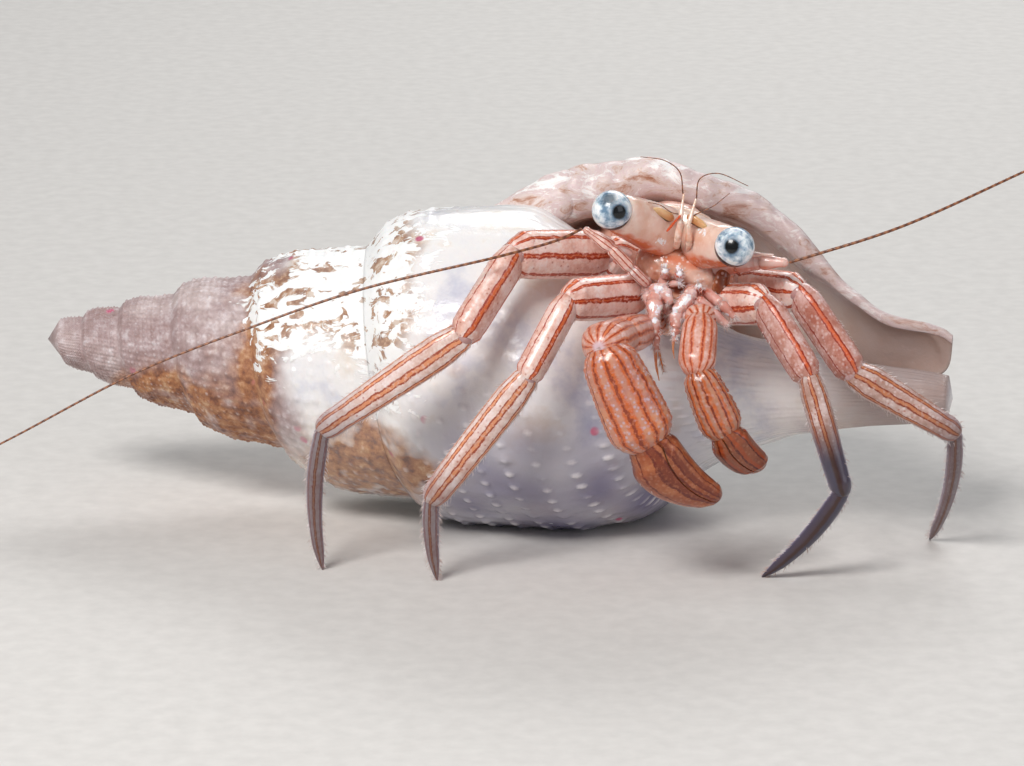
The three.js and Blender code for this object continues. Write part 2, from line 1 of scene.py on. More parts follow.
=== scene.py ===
"""Hermit crab looking out of a tall snail shell: the fine shapes and the finish of each piece,
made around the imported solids.  Shapes are worked out in millimetres, +Z up, the crab faces -Y."""
import math
import bmesh
import bpy
import numpy as np
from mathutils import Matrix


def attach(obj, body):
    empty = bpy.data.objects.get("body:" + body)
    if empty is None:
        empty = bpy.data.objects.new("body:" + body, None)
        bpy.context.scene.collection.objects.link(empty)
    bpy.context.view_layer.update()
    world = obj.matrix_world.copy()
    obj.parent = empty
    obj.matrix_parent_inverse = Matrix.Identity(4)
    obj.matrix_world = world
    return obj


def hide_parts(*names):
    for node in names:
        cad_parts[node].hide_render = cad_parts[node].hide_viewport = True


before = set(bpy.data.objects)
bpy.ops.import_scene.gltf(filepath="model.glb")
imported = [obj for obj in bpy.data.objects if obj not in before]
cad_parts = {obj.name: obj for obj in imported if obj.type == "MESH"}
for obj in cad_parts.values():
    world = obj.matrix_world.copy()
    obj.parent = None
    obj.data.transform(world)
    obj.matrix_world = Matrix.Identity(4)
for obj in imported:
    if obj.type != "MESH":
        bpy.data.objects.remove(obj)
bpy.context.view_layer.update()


# ---------------------------------------------------------------------------- studio
# A matt pale board under the model, lit by three cloth-covered softboxes and a pale room.
# The camera stands a little above the crab's eye level and looks down by 15 degrees.
MM = 0.001
VIEW_DOWN = math.radians(15)
VIEW_DISTANCE = 260 * MM
LOOK_AT_HEIGHT = 7.76 * MM
SENSOR = 36                # mm
VIEW_WIDTH = 56.9 * MM     # what the camera takes in at the crab
BOARD_SIZE = 6.0           # metres, so that the board's edges stay out of sight


def linear(code):
    """Linear RGBA of an sRGB hex text, whose last two digits may be the alpha: the standard
    curve, split at 0.04045."""
    parts = [int(code[i:i + 2], 16) / 255 for i in (0, 2, 4)]
    alpha = [int(code[6:8], 16) / 255] if len(code) == 8 else [1.0]
    return [c / 12.92 if c <= 0.04045 else ((c + 0.055) / 1.055) ** 2.4 for c in parts] + alpha


def plug(socket, value):
    """Gives a socket its value: a node's first live output or a given output is linked to it, a
    hex text is a colour, and None leaves it as it is."""
    if isinstance(value, bpy.types.Node):
        value = next(o for o in value.outputs if o.enabled)
    if isinstance(value, bpy.types.NodeSocket):
        socket.id_data.links.new(value, socket)
    elif value is not None:
        socket.default_value = linear(value) if isinstance(value, str) else value


def add(tree, kind, *inputs, stops=(), **settings):
    """Adds a shader node.  inputs go to its live sockets in order, settings are its properties
    or its other sockets by name, and stops are a ramp's places and tones.  A Mix mixes colours."""
    node = tree.nodes.new("ShaderNode" + kind)
    if kind == "Mix":
        node.data_type = "RGBA"
    ramp = node.color_ramp.elements if stops else []
    while len(ramp) < len(stops):
        ramp.new(0.5)
    for element, (place, code) in zip(ramp, stops):
        element.position = place
        element.color = linear(code)
    for key in [key for key in settings if hasattr(node, key)]:
        setattr(node, key, settings.pop(key))
    for socket, value in zip([s for s in node.inputs if s.enabled], inputs):
        plug(socket, value)
    for key, value in settings.items():
        plug(node.inputs[key], value)
    return node


def new_material(name, settings):
    """A material with one Principled shader; returns the material, its tree and the shader."""
    material = bpy.data.materials.new(name)
    material.use_nodes = True
    shader = material.node_tree.nodes["Principled BSDF"]
    for key, value in settings.items():
        plug(shader.inputs[key], value)
    return material, material.node_tree, shader


def softbox(name, place, aim, size, power, tint):
    """A square area light at place, turned to aim, both in millimetres."""
    light = bpy.data.lights.new(name, "AREA")
    light.shape = "RECTANGLE"
    light.size, light.size_y = size[0] * MM, size[1] * MM
    light.energy = power
    light.color = linear(tint)[:3]
    lamp = bpy.data.objects.new(name, light)
    bpy.context.scene.collection.objects.link(lamp)
    from_to = np.array(aim, float) - np.array(place, float)
    lamp.location = np.array(place) * MM
    lamp.rotation_euler = (math.acos(-from_to[2] / np.linalg.norm(from_to)), 0,
                           math.atan2(from_to[1], from_to[0]) - math.pi / 2)


board_mesh = bpy.data.meshes.new("board")
half = BOARD_SIZE / 2
board_mesh.from_pydata([(-half, -half, 0), (half, -half, 0), (half, half, 0), (-half, half, 0)], [],
                       [(0, 1, 2, 3)])
board = bpy.data.objects.new("board", board_mesh)
bpy.context.scene.collection.objects.link(board)
# matt painted board: fine roller texture, hardly any gloss
board_paint, tree, shader = new_material("matt_board_paint", {"Roughness": 0.75, "Base Color": "D8D5D0"})
place = add(tree, "TexCoord").outputs["Object"]
grain = add(tree, "TexNoise", place, Scale=900.0, Detail=4.0)
tone = add(tree, "ValToRGB", grain, stops=[(0.3, "D3D0CC"), (0.7, "DCD9D5")])
plug(shader.inputs["Base Color"], tone)
board_mesh.materials.append(board_paint)

softbox("key_light", (-110, -190, 230), (4, -4, 8), (120, 90), 0.78, "FFFDFB")
softbox("fill_light", (230, -200, 110), (4, -4, 8), (160, 160), 0.12, "EEF3FF")
softbox("back_light", (60, 230, 190), (0, 0, 8), (200, 90), 0.35, "FFFFFF")
world = bpy.data.worlds.new("pale_room")
world.use_nodes = True
background = world.node_tree.nodes["Background"]
plug(background.inputs["Color"], "E9ECF0")
plug(background.inputs["Strength"], 0.30)
bpy.context.scene.world = world
bpy.context.scene.view_settings.view_transform = "Standard"

camera_data = bpy.data.cameras.new("camera")
camera_data.sensor_width = SENSOR
camera_data.lens = VIEW_DISTANCE * SENSOR / VIEW_WIDTH
camera = bpy.data.objects.new("camera", camera_data)
camera.location = (0, -VIEW_DISTANCE * math.cos(VIEW_DOWN),
                   LOOK_AT_HEIGHT + VIEW_DISTANCE * math.sin(VIEW_DOWN))
camera.rotation_euler = (math.pi / 2 - VIEW_DOWN, 0, 0)
bpy.context.scene.collection.objects.link(camera)
bpy.context.scene.camera = camera


# ---------------------------------------------------------------------------- shell
# Empty shell of a cerith snail: aragonite laid down turn by turn round a straight axis, with
# spiral rows of beads, an outer lip that stands open over the aperture, and a short canal.
# Old and used: the spire is worn and stained, and a lacy white crust grows over its middle.
TURN = 1.45             # growth per turn
SUTURE = 30.1           # distance from the ideal apex of the suture at the lip
CANAL_END = 54.0        # the same, of the end of the canal
WORN_APEX = 3.0         # how much of the ideal spire is worn off
LIP_ANGLE = math.radians(-25)
WALL = 0.9
SWELL = 0.055           # how much the whorl before the last bulges, as a share of its radius
BENEATH_AT = 0.43       # turns behind the lip
OPEN_TURN = 0.125       # turns over which the canal is open at its end
CAVITY_TURNS = 0.46     # how far back the cavity is made
SPLIT_AT = 31.3         # where the outer lip's inner side starts, at the lip
APEX_TURNS = 6          # turns between the lip and the worn apex
APEX_AT = np.array([-26.1, 6.1, 8.7])
CANAL_AT = np.array([23.7, -4.5, 8.15])
# sections: how far along a whorl, and the radius there; WHORL's are shares of its own suture
WHORL = [[1, 0.3], [1.06, 0.34], [1.15, 0.342], [1.3, 0.318], [1.45, 0.3]]
AT_LIP = [[0, 9.6], [0.03, 11.1], [0.15, 12.2], [0.264, 12.6], [0.406, 11.8], [0.502, 11.2],
          [0.619, 9.15], [0.715, 6.75], [0.778, 5.5], [0.854, 4.4], [0.97, 3.9], [1, 3.5]]
BENEATH = [[0, 7.8], [0.034, 8.5], [0.097, 8.7], [0.28, 8.6], [0.418, 7.9], [0.51, 5.3],
           [0.619, 3.4], [0.718, 2.4], [0.8, 2.05], [0.894, 1.7], [0.97, 1.4], [1, 1.0]]
AT_START = [[0, 6.23], [0.043, 7.8], [0.097, 8.55], [0.188, 8.95], [0.281, 9.1], [0.338, 8.3],
            [0.398, 7.0], [0.458, 5.6], [0.519, 4.5], [0.579, 3.6], [0.654, 2.8], [0.735, 2.3],
            [0.82, 1.6], [0.95, 1.4], [1, 1.2]]
ROWS_OF_BEADS = 7       # primary rows between two sutures: 1.8 mm apart on the last whorl
BEADS_PER_TURN = 58     # 0.9 mm apart there
BEAD_HEIGHT = 0.15
FINE_BEAD_HEIGHT = 0.055    # of the low beads in double rows on the older whorls
GROWTH_HEIGHT = 0.035       # of the growth lines along the lip
LAST_FROM = 24.0            # distance along the axis from which the last whorl's relief holds
# slow unevenness: height, size and seed of each noise
UNEVEN = [(0.20, 5.5, 1), (0.09, 2.2, 2), (0.03, 0.8, 4)]
# callus: how far along the axis, how far from it, and half its width
CALLUS = [[27.4, 8.9, 0.12], [28.1, 8.97, 0.45], [28.8, 9.1, 0.85], [29.8, 9.3, 1.3], [30.7, 9.66, 1.5],
          [31.6, 9.95, 1.5], [32.6, 10.1, 1.2]]


def unit(v):
    return v / np.linalg.norm(v, axis=-1, keepdims=True)


def mix(a, b, t):
    return a + (b - a) * t


def ease(t):
    """0 to 1 with level ends: 3t^2 - 2t^3 of t held between 0 and 1."""
    t = np.clip(t, 0, 1)
    return t * t * (3 - 2 * t)


def smooth_table(rows, x):
    """Value at x of a curve through rows of (x, y): cubic pieces whose slope at a row is the
    harmonic mean of its neighbours' slopes, so that the curve never swings past a row."""
    xs, ys = np.array(rows, float).T
    steps = np.diff(xs)
    slopes = np.diff(ys) / steps
    product = slopes[:-1] * slopes[1:]
    total = slopes[:-1] + slopes[1:]
    inner = np.where(product > 0, 2 * product / np.where(total == 0, 1, total), 0)
    tangent = np.concatenate([slopes[:1], inner, slopes[-1:]])
    k = np.clip(np.searchsorted(xs, x, side="right") - 1, 0, len(steps) - 1)
    t = np.clip((x - xs[k]) / steps[k], 0, 1)
    near = (1 + 2 * t) * (1 - t) ** 2 * ys[k] + t * (1 - t) ** 2 * steps[k] * tangent[k]
    return near + t * t * (3 - 2 * t) * ys[k + 1] + t * t * (t - 1) * steps[k] * tangent[k + 1]


def dome(x, power=2):
    """A rounded end from 0 to 1: the root of 1 - (1 - x)^power, of x held between 0 and 1."""
    return np.sqrt(1 - (1 - np.clip(x, 0, 1)) ** power)


rng = np.random.default_rng(7)
LATTICE = unit(rng.normal(size=(512, 3)))
HASH = (73856093, 19349663, 83492791, 2654435)      # large odd numbers that scatter the corners
SEED_STEP = 17.31       # cells between the places that two seeds take the noise from
NOISE_GAIN = 1.6        # brings the blend's reach to about 1


def noise(points, size, seed):
    """Gradient noise of about -1 to 1: each corner of a cube lattice of the given size in mm has
    a random direction, and a point blends the eight corners' slopes with a quintic ease."""
    p = points / size + seed * SEED_STEP
    cell = np.floor(p).astype(np.int64)
    part = p - cell
    fade = part ** 3 * (part * (part * 6 - 15) + 10)
    total = np.zeros(points.shape[:-1])
    for corner in np.ndindex(2, 2, 2):
        c = cell + corner
        pick = c[..., 0] * HASH[0] ^ c[..., 1] * HASH[1] ^ c[..., 2] * HASH[2] ^ seed * HASH[3]
        slope = np.sum(LATTICE[pick % len(LATTICE)] * (part - corner), axis=-1)
        weight = np.prod(np.where(corner, fade, 1 - fade), axis=-1)
        total += slope * weight
    return total * NOISE_GAIN


WELD_PER_MM = 2000      # points closer than a 2000th of a mm are one


def make_piece(name, points, faces, material, replaced=(), values=None, corner_uv=None,
               uv_name="Skin"):
    """A smooth closed mesh from points in mm and rows of four corners, with its material, body
    and the CAD nodes that it stands for.  Points in the same place become one, and faces that
    shrink to a line go.  values are numbers kept at the points."""
    keys = np.round(points * WELD_PER_MM).astype(np.int64)
    _, first, back = np.unique(keys, axis=0, return_index=True, return_inverse=True)
    faces = back.ravel()[faces]
    rolled = np.roll(faces, -1, axis=1)
    corners = faces != rolled
    keep = corners.sum(axis=1) >= 3
    faces, corners = faces[keep], corners[keep]
    counts = corners.sum(axis=1)
    mesh = bpy.data.meshes.new(name)
    mesh.vertices.add(len(first))
    mesh.vertices.foreach_set("co", (points[first] * MM).ravel())
    mesh.loops.add(int(counts.sum()))
    mesh.loops.foreach_set("vertex_index", faces[corners])
    mesh.polygons.add(len(counts))
    mesh.polygons.foreach_set("loop_start", np.concatenate([[0], np.cumsum(counts)[:-1]]))
    mesh.polygons.foreach_set("use_smooth", np.ones(len(counts), bool))
    if corner_uv is not None:
        layer = mesh.uv_layers.new(name=uv_name)
        layer.data.foreach_set("uv", corner_uv[keep][corners].ravel())
    for key, row in (values or {}).items():
        mesh.attributes.new(key, "FLOAT", "POINT").data.foreach_set("value", row[first])
    mesh.update(calc_edges=True)
    mesh.validate()
    solid = bmesh.new()
    solid.from_mesh(mesh)
    bmesh.ops.recalc_face_normals(solid, faces=solid.faces)
    solid.to_mesh(mesh)
    solid.free()
    piece = bpy.data.objects.new(name, mesh)
    bpy.context.scene.collection.objects.link(piece)
    mesh.materials.append(material)
    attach(piece, "root")
    if replaced:
        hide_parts(*replaced)


def grid_faces(rows, columns, start=0):
    """Corner numbers of the quads of a grid of points numbered row by row from start."""
    k = start + np.arange(rows * columns).reshape(rows, columns)
    return np.stack([k[:-1, :-1], k[1:, :-1], k[1:, 1:], k[:-1, 1:]], axis=-1).reshape(-1, 4)


def tube_points(centre, across, through, wide, deep, sides, power=2.3):
    """Rings round a path: across * wide * cos + through * deep * sin of the angle, with cos and
    sin raised to 2 / power so that the section is a superellipse.  The two ways may turn along
    the path or stay the same."""
    across, through = [np.broadcast_to(way, centre.shape)[:, None] for way in (across, through)]
    angle = 2 * math.pi * np.arange(sides) / sides
    c, s = [np.sign(wave) * np.abs(wave) ** (2 / power) for wave in (np.cos(angle), np.sin(angle))]
    ring = across * (wide[:, None] * c)[..., None]
    return centre[:, None] + (ring + through * (deep[:, None] * s)[..., None])


def tube_skin(rings, start=0):
    """Points, faces and face corner UVs of a closed tube: the quads between rings, and a fan to
    a pole at each end; u runs round the tube and v along it."""
    rows, sides = rings.shape[:2]
    k = start + np.arange(rows * sides).reshape(rows, sides)
    n = np.roll(k, -1, axis=1)
    quads = np.stack([k[:-1], k[1:], n[1:], n[:-1]], axis=-1).reshape(-1, 4)
    poles = start + rows * sides + np.array([0, 1])
    first = np.stack([n[0], k[0], np.full(sides, poles[0]), np.full(sides, poles[0])], axis=1)
    last = np.stack([k[-1], n[-1], np.full(sides, poles[1]), np.full(sides, poles[1])], axis=1)
    u = np.arange(sides) / sides
    v = np.arange(rows) / (rows - 1)
    u0, v0 = np.meshgrid(u, v[:-1])
    u1, v1 = u0 + 1 / sides, v0 + v[1]
    uv = np.stack([np.stack(c, -1) for c in ((u0, v0), (u0, v1), (u1, v1), (u1, v0))], 2).reshape(-1, 4, 2)
    step = 1 / sides
    ends = [np.stack([np.stack([u + shift, 0 * u + level], -1) for shift in shifts], 1)
            for level, shifts in ((0, (step, 0, 0, 0)), (1, (0, step, 0, 0)))]
    uv = np.concatenate([uv, *ends])
    points = np.concatenate([rings.reshape(-1, 3), rings[[0, -1]].mean(axis=1)])
    return points, np.concatenate([quads, first, last]), uv


def tube_piece(name, rings, material, replaced, values=None):
    """One closed tube as a piece; values are numbers per point of the rings, per ring or for all."""
    points, faces, uv = tube_skin(rings)
    kept = {}
    for key, value in (values or {}).items():
        value = value[:, None] if np.ndim(value) == 1 else value
        value = np.broadcast_to(value, rings.shape[:2])
        kept[key] = np.concatenate([value.ravel(), value[[0, -1], 0]])
    make_piece(name, points, faces, material, replaced, kept, uv)


axis_x = unit(CANAL_AT - APEX_AT)
axis_y = unit(np.cross([0, 0, 1], axis_x))
axis_z = np.cross(axis_x, axis_y)
axis_start = APEX_AT - WORN_APEX * axis_x


def suture(q):
    return SUTURE * TURN ** (-q)


def last_whorl(q, share):
    """Radius of the last whorl, 0 <= q <= 1: blends the sections at the lip, underneath and at
    the start, each a curve over the share of the way from the suture to the canal's end."""
    lip, under, start = [smooth_table(rows, share) for rows in (AT_LIP, BENEATH, AT_START)]
    early = mix(lip, under, q / BENEATH_AT)
    return np.where(q < BENEATH_AT, early, mix(under, start, (q - BENEATH_AT) / (1 - BENEATH_AT)))


def free_whorl(q, D):
    """Radius of an older whorl: D times a curve over D as a share of the whorl's own suture."""
    way = np.clip((D / suture(q) - 1) / (TURN - 1), 0, 1)
    # only the whorl before the last bulges, up to 1.4 turns behind the lip and none from 1.75
    bulge = 1 + SWELL * np.clip((1.75 - q) / 0.35, 0, 1) * np.sin(math.pi * way)
    return D * smooth_table(WHORL, D / suture(q)) * bulge


def outer_radius(q, D):
    """Radius of the outside at q turns behind the lip and D along the axis."""
    last = last_whorl(np.clip(q, 0, 1), (D - suture(q)) / (CANAL_END - suture(q)))
    scale = TURN ** (q - 1)
    echo = last_whorl(np.ones_like(q), (D * scale - suture(1)) / (CANAL_END - suture(1))) / scale
    older = mix(echo, free_whorl(q, D), ease((q - 1) / 0.2))
    joint = suture(q - 1)
    met = np.where(q <= 2, last_whorl(np.clip(q - 1, 0, 1), np.zeros_like(q)), 0.3 * joint)
    way = np.log(D / suture(q)) / math.log(TURN)
    older_there = mix(echo, free_whorl(q, joint), ease((q - 1) / 0.2))
    # near its next suture an older whorl is drawn to the radius at which it is met there
    older = older + (met - older_there) * np.clip(way, 0, 1) ** 12
    return np.where(q <= 1, last, older)


def floor_radius(q, D):
    """Radius of the cavity's floor, q > 1: the last whorl's start carried on into the cavity."""
    u = (D - suture(q - 1)) / (CANAL_END - suture(q - 1))
    same = mix(SUTURE, CANAL_END, u)
    at_start = smooth_table(AT_START, (same - suture(1)) / (CANAL_END - suture(1)))
    return at_start * mix(suture(q - 1) / SUTURE, 1, u)


def shell_point(q, D, r):
    """Point at q turns behind the lip, D along the axis and r from it, kept above the floor."""
    angle = LIP_ANGLE - 2 * math.pi * q
    p = axis_start + D[..., None] * axis_x - (np.sin(angle) * r)[..., None] * axis_y
    p = p + (np.cos(angle) * r)[..., None] * axis_z
    p[..., 2] = np.maximum(p[..., 2], 0)
    return p


def blob(points, centre, size):
    """1 at the centre, falling off as a bell over an ellipsoid of the given half sizes."""
    return np.exp(-np.sum(((points - np.array(centre)) / np.array(size)) ** 2, axis=-1))


def shell_relief(q, D, points, way):
    """Height in mm over the plain surface: rows of beads and cords that follow the whorl, growth
    lines along the lip, and slow worn unevenness.  Returns it with the beads' share."""
    row = way * ROWS_OF_BEADS
    lean = q * BEADS_PER_TURN + 0.12 * row
    # a bead is a low dome, 0.22 of a row and 0.3 of a spacing to each side
    across = np.abs(row - np.round(row)) / 0.22
    along = np.abs(lean - np.round(lean)) / 0.3
    bead = np.clip(1 - across ** 2 - along ** 2, 0, 1) ** 1.3
    cord = 0.5 + 0.5 * np.cos(4 * math.pi * row)
    fine_bead = cord * (0.5 + 0.5 * np.cos(2 * math.pi * lean + 1.0))
    on_last = ease((D - LAST_FROM) / 4)
    # the last whorl's beads fade towards its top and towards the canal, and some are worn
    worn = mix(1, 0.7, noise(points, 1.9, 3) > 0.2)
    strength = mix(0.45, ease((15 - points[..., 2]) / 9) * ease((46 - D) / 4) * worn, on_last)
    growth = noise(np.stack([q * 95, D * 0.25, q * 0], axis=-1), 1.0, 5)
    slow = sum(height * noise(points, size, seed) for height, size, seed in UNEVEN)
    # the rows fade out at a whorl's own suture and at the next, which the last whorl lacks
    next_suture = np.where(q <= 1, np.inf, 1.0)
    edges = ease(way / 0.08) * ease((next_suture - way) / 0.08)
    relief = edges * (BEAD_HEIGHT * bead * strength + FINE_BEAD_HEIGHT * fine_bead * (1 - on_last)
                      + GROWTH_HEIGHT * growth)
    under = ease((9.0 - points[..., 2]) / (0.5 * D)) * (1 - on_last)
    spotty = np.clip(0.75 + 0.9 * noise(points, 1.2, 6), 0, 1.3)
    return relief + slow * mix(0.9, 0.75, on_last), np.maximum(bead * strength, fine_bead * under) * spotty


# rusty stains on the shell: how strong, where, and half how wide, in mm
STAINS = [(1.2, (-14.0, -1.6, 9.6), (1.0, 2.5, 2.4)), (0.8, (-14.6, 0.4, 13.4), (1.6, 3, 1.4)),
          (1.7, (-8.2, -4.0, 3.6), (3.2, 5, 3.3)), (0.8, (-6.2, -4.8, 12.9), (0.9, 2, 1.1)),
          (0.7, (-9.0, -3.0, 13.0), (1.3, 3, 1.0)), (0.55, (1.3, -5.5, 7.9), (0.8, 3, 0.9)),
          (0.6, (-2.6, -5.5, 10.4), (1.6, 3, 0.8)), (0.5, (-1.7, -5.5, 8.85), (0.8, 2, 0.9)),
          (0.55, (0.2, -5.5, 5.3), (0.7, 2, 0.7)), (0.62, (-4.9, -5, 4.4), (1.6, 3, 1.2)),
          (0.42, (-15.0, -0.5, 9.0), (3.6, 4, 3.0)), (0.9, (1.9, -5.5, 3.8), (0.5, 2, 0.5)),
          (0.9, (4.1, -5.5, 4.9), (0.35, 2, 0.35))]


def shell_values(q, D, points):
    """Numbers kept at the shell's points for its finish, 0 to about 1: worn spire, lacy crust,
    stains, painted shade (partly dirty grey at the canal's end), the lip's rim and the bare
    inner layer.  All end raggedly: a slow noise shifts their edges, which are given in mm along
    the axis or up."""
    turned = np.mod(q, 1)
    wide = noise(points, 3.2, 11)
    spire = ease((19.5 + 1.2 * wide - D) / 2.5)
    # crust: over the middle whorls, on the side turned up, but for one bare patch
    area = ease((D - 13.2 + 1.8 * wide) / 4.0) * ease((29.5 - D + 1.8 * wide) / 6.5)
    area = area * ease((turned - 0.63 + 0.02 * wide) / 0.10)
    area = area * (1 - 0.75 * blob(points, (-10.6, -3.2, 8.6), (2.6, 4, 2.4)))
    # stains: the listed ones, the spire's underside and the canal's end
    low = ease((9.4 + 1.4 * wide - points[..., 2]) / (0.27 * D))
    stain = sum(strength * blob(points, at, size) for strength, at, size in STAINS)
    stain = stain + 0.8 * low * ease((18.5 - D) / 2) * ease((D - 5) / 4)
    stain = stain * (1 + 0.6 * noise(points, 1.3, 14) + 0.3 * noise(points, 0.6, 15))
    stain = stain + 0.3 * ease((D - 47.5) / 5) * (1 + 0.8 * noise(points, 1.6, 16))
    # painted shade, mauve grey: low on the last whorl, on the canal and along the lip's lower half; at the
    # canal's end it is partly the shell's dirty grey
    painted_shade_and_grime = ease((11.0 + 0.9 * wide - points[..., 2]) / 6.5) * ease((D - LAST_FROM) / 5) * ease((44 - D) / 6)
    painted_shade_and_grime = painted_shade_and_grime * (0.9 + 0.42 * noise(points, 3.0, 12)) * (1 - 0.45 * ease(points[..., 1] / 6))
    painted_shade_and_grime = painted_shade_and_grime + 0.9 * ease((D - 45 + 0.6 * wide) / 7)
    painted_shade_and_grime = np.maximum(painted_shade_and_grime, 0.5 * ease((0.03 - q) / 0.03) * ease((D - 36) / 6))
    rim = ease(1 - (q + 0.012 * wide) / 0.045)
    # the canal's end takes the inside's cream, which the painted shade there turns brown
    inner = 0.85 * ease((D - 43 + 1.2 * wide) / 6)
    return {"spire": spire, "crust": area, "stain": stain, "painted_shade_and_grime": painted_shade_and_grime, "rim": rim, "inner": inner}


def raised(q, D, way):
    """Point of the outside with its relief, and the numbers kept there."""
    r = outer_radius(q, D)
    plain = shell_point(q, D, r)
    height, bead = shell_relief(q, D, plain, way)
    values = shell_values(q, D, plain)
    values["bead"] = bead
    return shell_point(q, D, r + height), values


# spire: all whorls before the last, closed inside by a fan to the axis
TURN_STEPS = 300
SPIRE_ROWS = 56
q, way = np.meshgrid(np.linspace(APEX_TURNS, 1, (APEX_TURNS - 1) * TURN_STEPS + 1),
                     np.linspace(0, 1, SPIRE_ROWS), indexing="ij")
D = suture(q) * TURN ** way
spire_points, spire_values = raised(q, D, way)
loop = np.concatenate([spire_points[-1], spire_points[-TURN_STEPS - 1:-1, -1][::-1]])
apex = axis_start + (suture(APEX_TURNS) - 0.5) * axis_x
apex_loop = np.concatenate([spire_points[0], spire_points[:TURN_STEPS + 1, 0][::-1]])


def fan(ring, centre, start):
    """Points and triangles, as four corners, that close a ring with a fan to its centre."""
    k = start + np.arange(len(ring))
    hub = np.full(len(ring), start + len(ring))
    return np.concatenate([ring, [centre]]), np.stack([k, np.roll(k, -1), hub, hub], axis=1)


rows, columns = q.shape
flat = spire_points.reshape(-1, 3)
inside_hub = axis_start + 26 * axis_x
fan_points, fan_faces = fan(loop, inside_hub, len(flat))
apex_points, apex_faces = fan(apex_loop, apex, len(flat) + len(fan_points))
spire_faces = np.concatenate([grid_faces(rows, columns), fan_faces, apex_faces])
padded_values = {}
for key, value in spire_values.items():
    apex_value = np.full(len(fan_points) + len(apex_points), value[0, 0])
    padded_values[key] = np.concatenate([value.ravel(), apex_value])

# worn, stained aragonite: satin on the spire, glossy porcelain on the last whorl
shell_finish, tree, shader = new_material("worn_aragonite_shell", {
    "IOR": 1.53, "Subsurface Weight": 0.12, "Subsurface Scale": 0.0012,
    "Subsurface Radius": (1.0, 0.75, 0.6), "Coat Weight": 0.12, "Coat Roughness": 0.2})
place = add(tree, "TexCoord").outputs["Object"]
kept = {k: add(tree, "Attribute", attribute_name=k).outputs["Fac"]
        for k in ("spire", "crust", "stain", "painted_shade_and_grime", "bead", "inner", "rim")}
cloud = add(tree, "TexNoise", place, Scale=210.0, Detail=5.0, Roughness=0.6)
grit = add(tree, "TexNoise", place, Scale=1500.0, Detail=4.0, Roughness=0.65)
porcelain = add(tree, "ValToRGB", cloud, stops=[
    (0.32, "C6C8D8"), (0.46, "EDEBEC"), (0.56, "F3F0EE"), (0.68, "E8DACB")])
# painted shade: where the kept shade value is high, the porcelain is darkened towards mauve grey
dim = add(tree, "Math", kept["painted_shade_and_grime"], 0.86, operation="MULTIPLY")
shaded = add(tree, "Mix", dim, porcelain, "7A7490")
tan = add(tree, "ValToRGB", grit, stops=[
    (0.3, "6F4A42"), (0.42, "8F6C66"), (0.54, "AC9190"), (0.66, "D6C9CB"), (0.8, "F4EFEE")])
worn = add(tree, "ValToRGB", cloud, stops=[
    (0.36, "946850"), (0.45, "997E7E"), (0.53, "B09A9A"), (0.64, "DED2D2")])
aged = add(tree, "Mix", 0.45, tan, worn)
spire_mask = add(tree, "Math", kept["spire"], 0.92, operation="MULTIPLY")
base = add(tree, "Mix", spire_mask, shaded, aged)
blot = add(tree, "MapRange", kept["stain"], 0.3, 0.85, 0.0, 0.85)
ochre = add(tree, "ValToRGB", grit, stops=[
    (0.35, "703A1D"), (0.48, "A0622F"), (0.6, "B9804C"), (0.75, "D3AE86")])
stained = add(tree, "Mix", blot, base, ochre)
# pale bead tops: partly the beads' own white, partly painted highlight
bead_pale_and_highlight = add(tree, "MapRange", kept["bead"], 0.2, 0.9, 0.0, 0.7)
beaded = add(tree, "Mix", bead_pale_and_highlight, stained, "F1ECEE")
# crust: a lace of lime 0.9 mm apart that runs out into flecks; brown shows in its deepest holes
slant = add(tree, "Mapping", place, Rotation=(0, 0.6, 0), Scale=(0.6, 1.0, 1.2))
lace = add(tree, "TexNoise", slant, Scale=1150.0, Detail=3.5, Roughness=0.6, Distortion=0.7)
thin = add(tree, "MapRange", kept["crust"], 0.0, 1.0, -0.27, 0.05)
woven = add(tree, "Math", lace, thin, operation="ADD")
crusted = add(tree, "MapRange", woven, 0.465, 0.5)
hole_tone = add(tree, "ValToRGB", grit, stops=[(0.4, "8F5F3F"), (0.5, "B58A68"), (0.6, "D9C7B8")])
deep = add(tree, "MapRange", kept["crust"], 0.66, 0.9, 0.0, 0.85)
under = add(tree, "Mix", deep, beaded, hole_tone)
laced = add(tree, "Mix", crusted, under, "F9F9F8")
# coralline specks: small pink spots, thinly scattered
speck_cell = add(tree, "TexVoronoi", place, Scale=520.0, Randomness=1.0)
speck = add(tree, "MapRange", speck_cell.outputs["Distance"], 0.16, 0.10, 0.0, 1.0)
speck_area = add(tree, "TexNoise", place, Scale=260.0)
where = add(tree, "MapRange", speck_area, 0.58, 0.64)
spots = add(tree, "Math", speck, where, operation="MULTIPLY")
spotted = add(tree, "Mix", spots, laced, "C4637F")
nacre = add(tree, "ValToRGB", cloud, stops=[(0.35, "E2C9BB"), (0.5, "EFDFD6"), (0.66, "F3EEEC")])
# painted shade: the inside's nacre is darkened towards brown in the same way
dim_nacre = add(tree, "Mix", dim, nacre, "8C7268")
lined = add(tree, "Mix", kept["inner"], spotted, dim_nacre)
# thick rim of the lip: grown over, peach and tan, with chalky and orange patches
stretch = add(tree, "Mapping", place, Scale=(0.45, 1.0, 1.3))
growth = add(tree, "TexNoise", stretch, Scale=820.0, Detail=7.0, Roughness=0.75, Distortion=0.8)
film = add(tree, "ValToRGB", growth, stops=[
    (0.34, "A46A4C"), (0.41, "CBA899"), (0.47, "DFCFC9"), (0.52, "D9C0C0"), (0.56, "E9DEDA"),
    (0.62, "FAF8F6")])
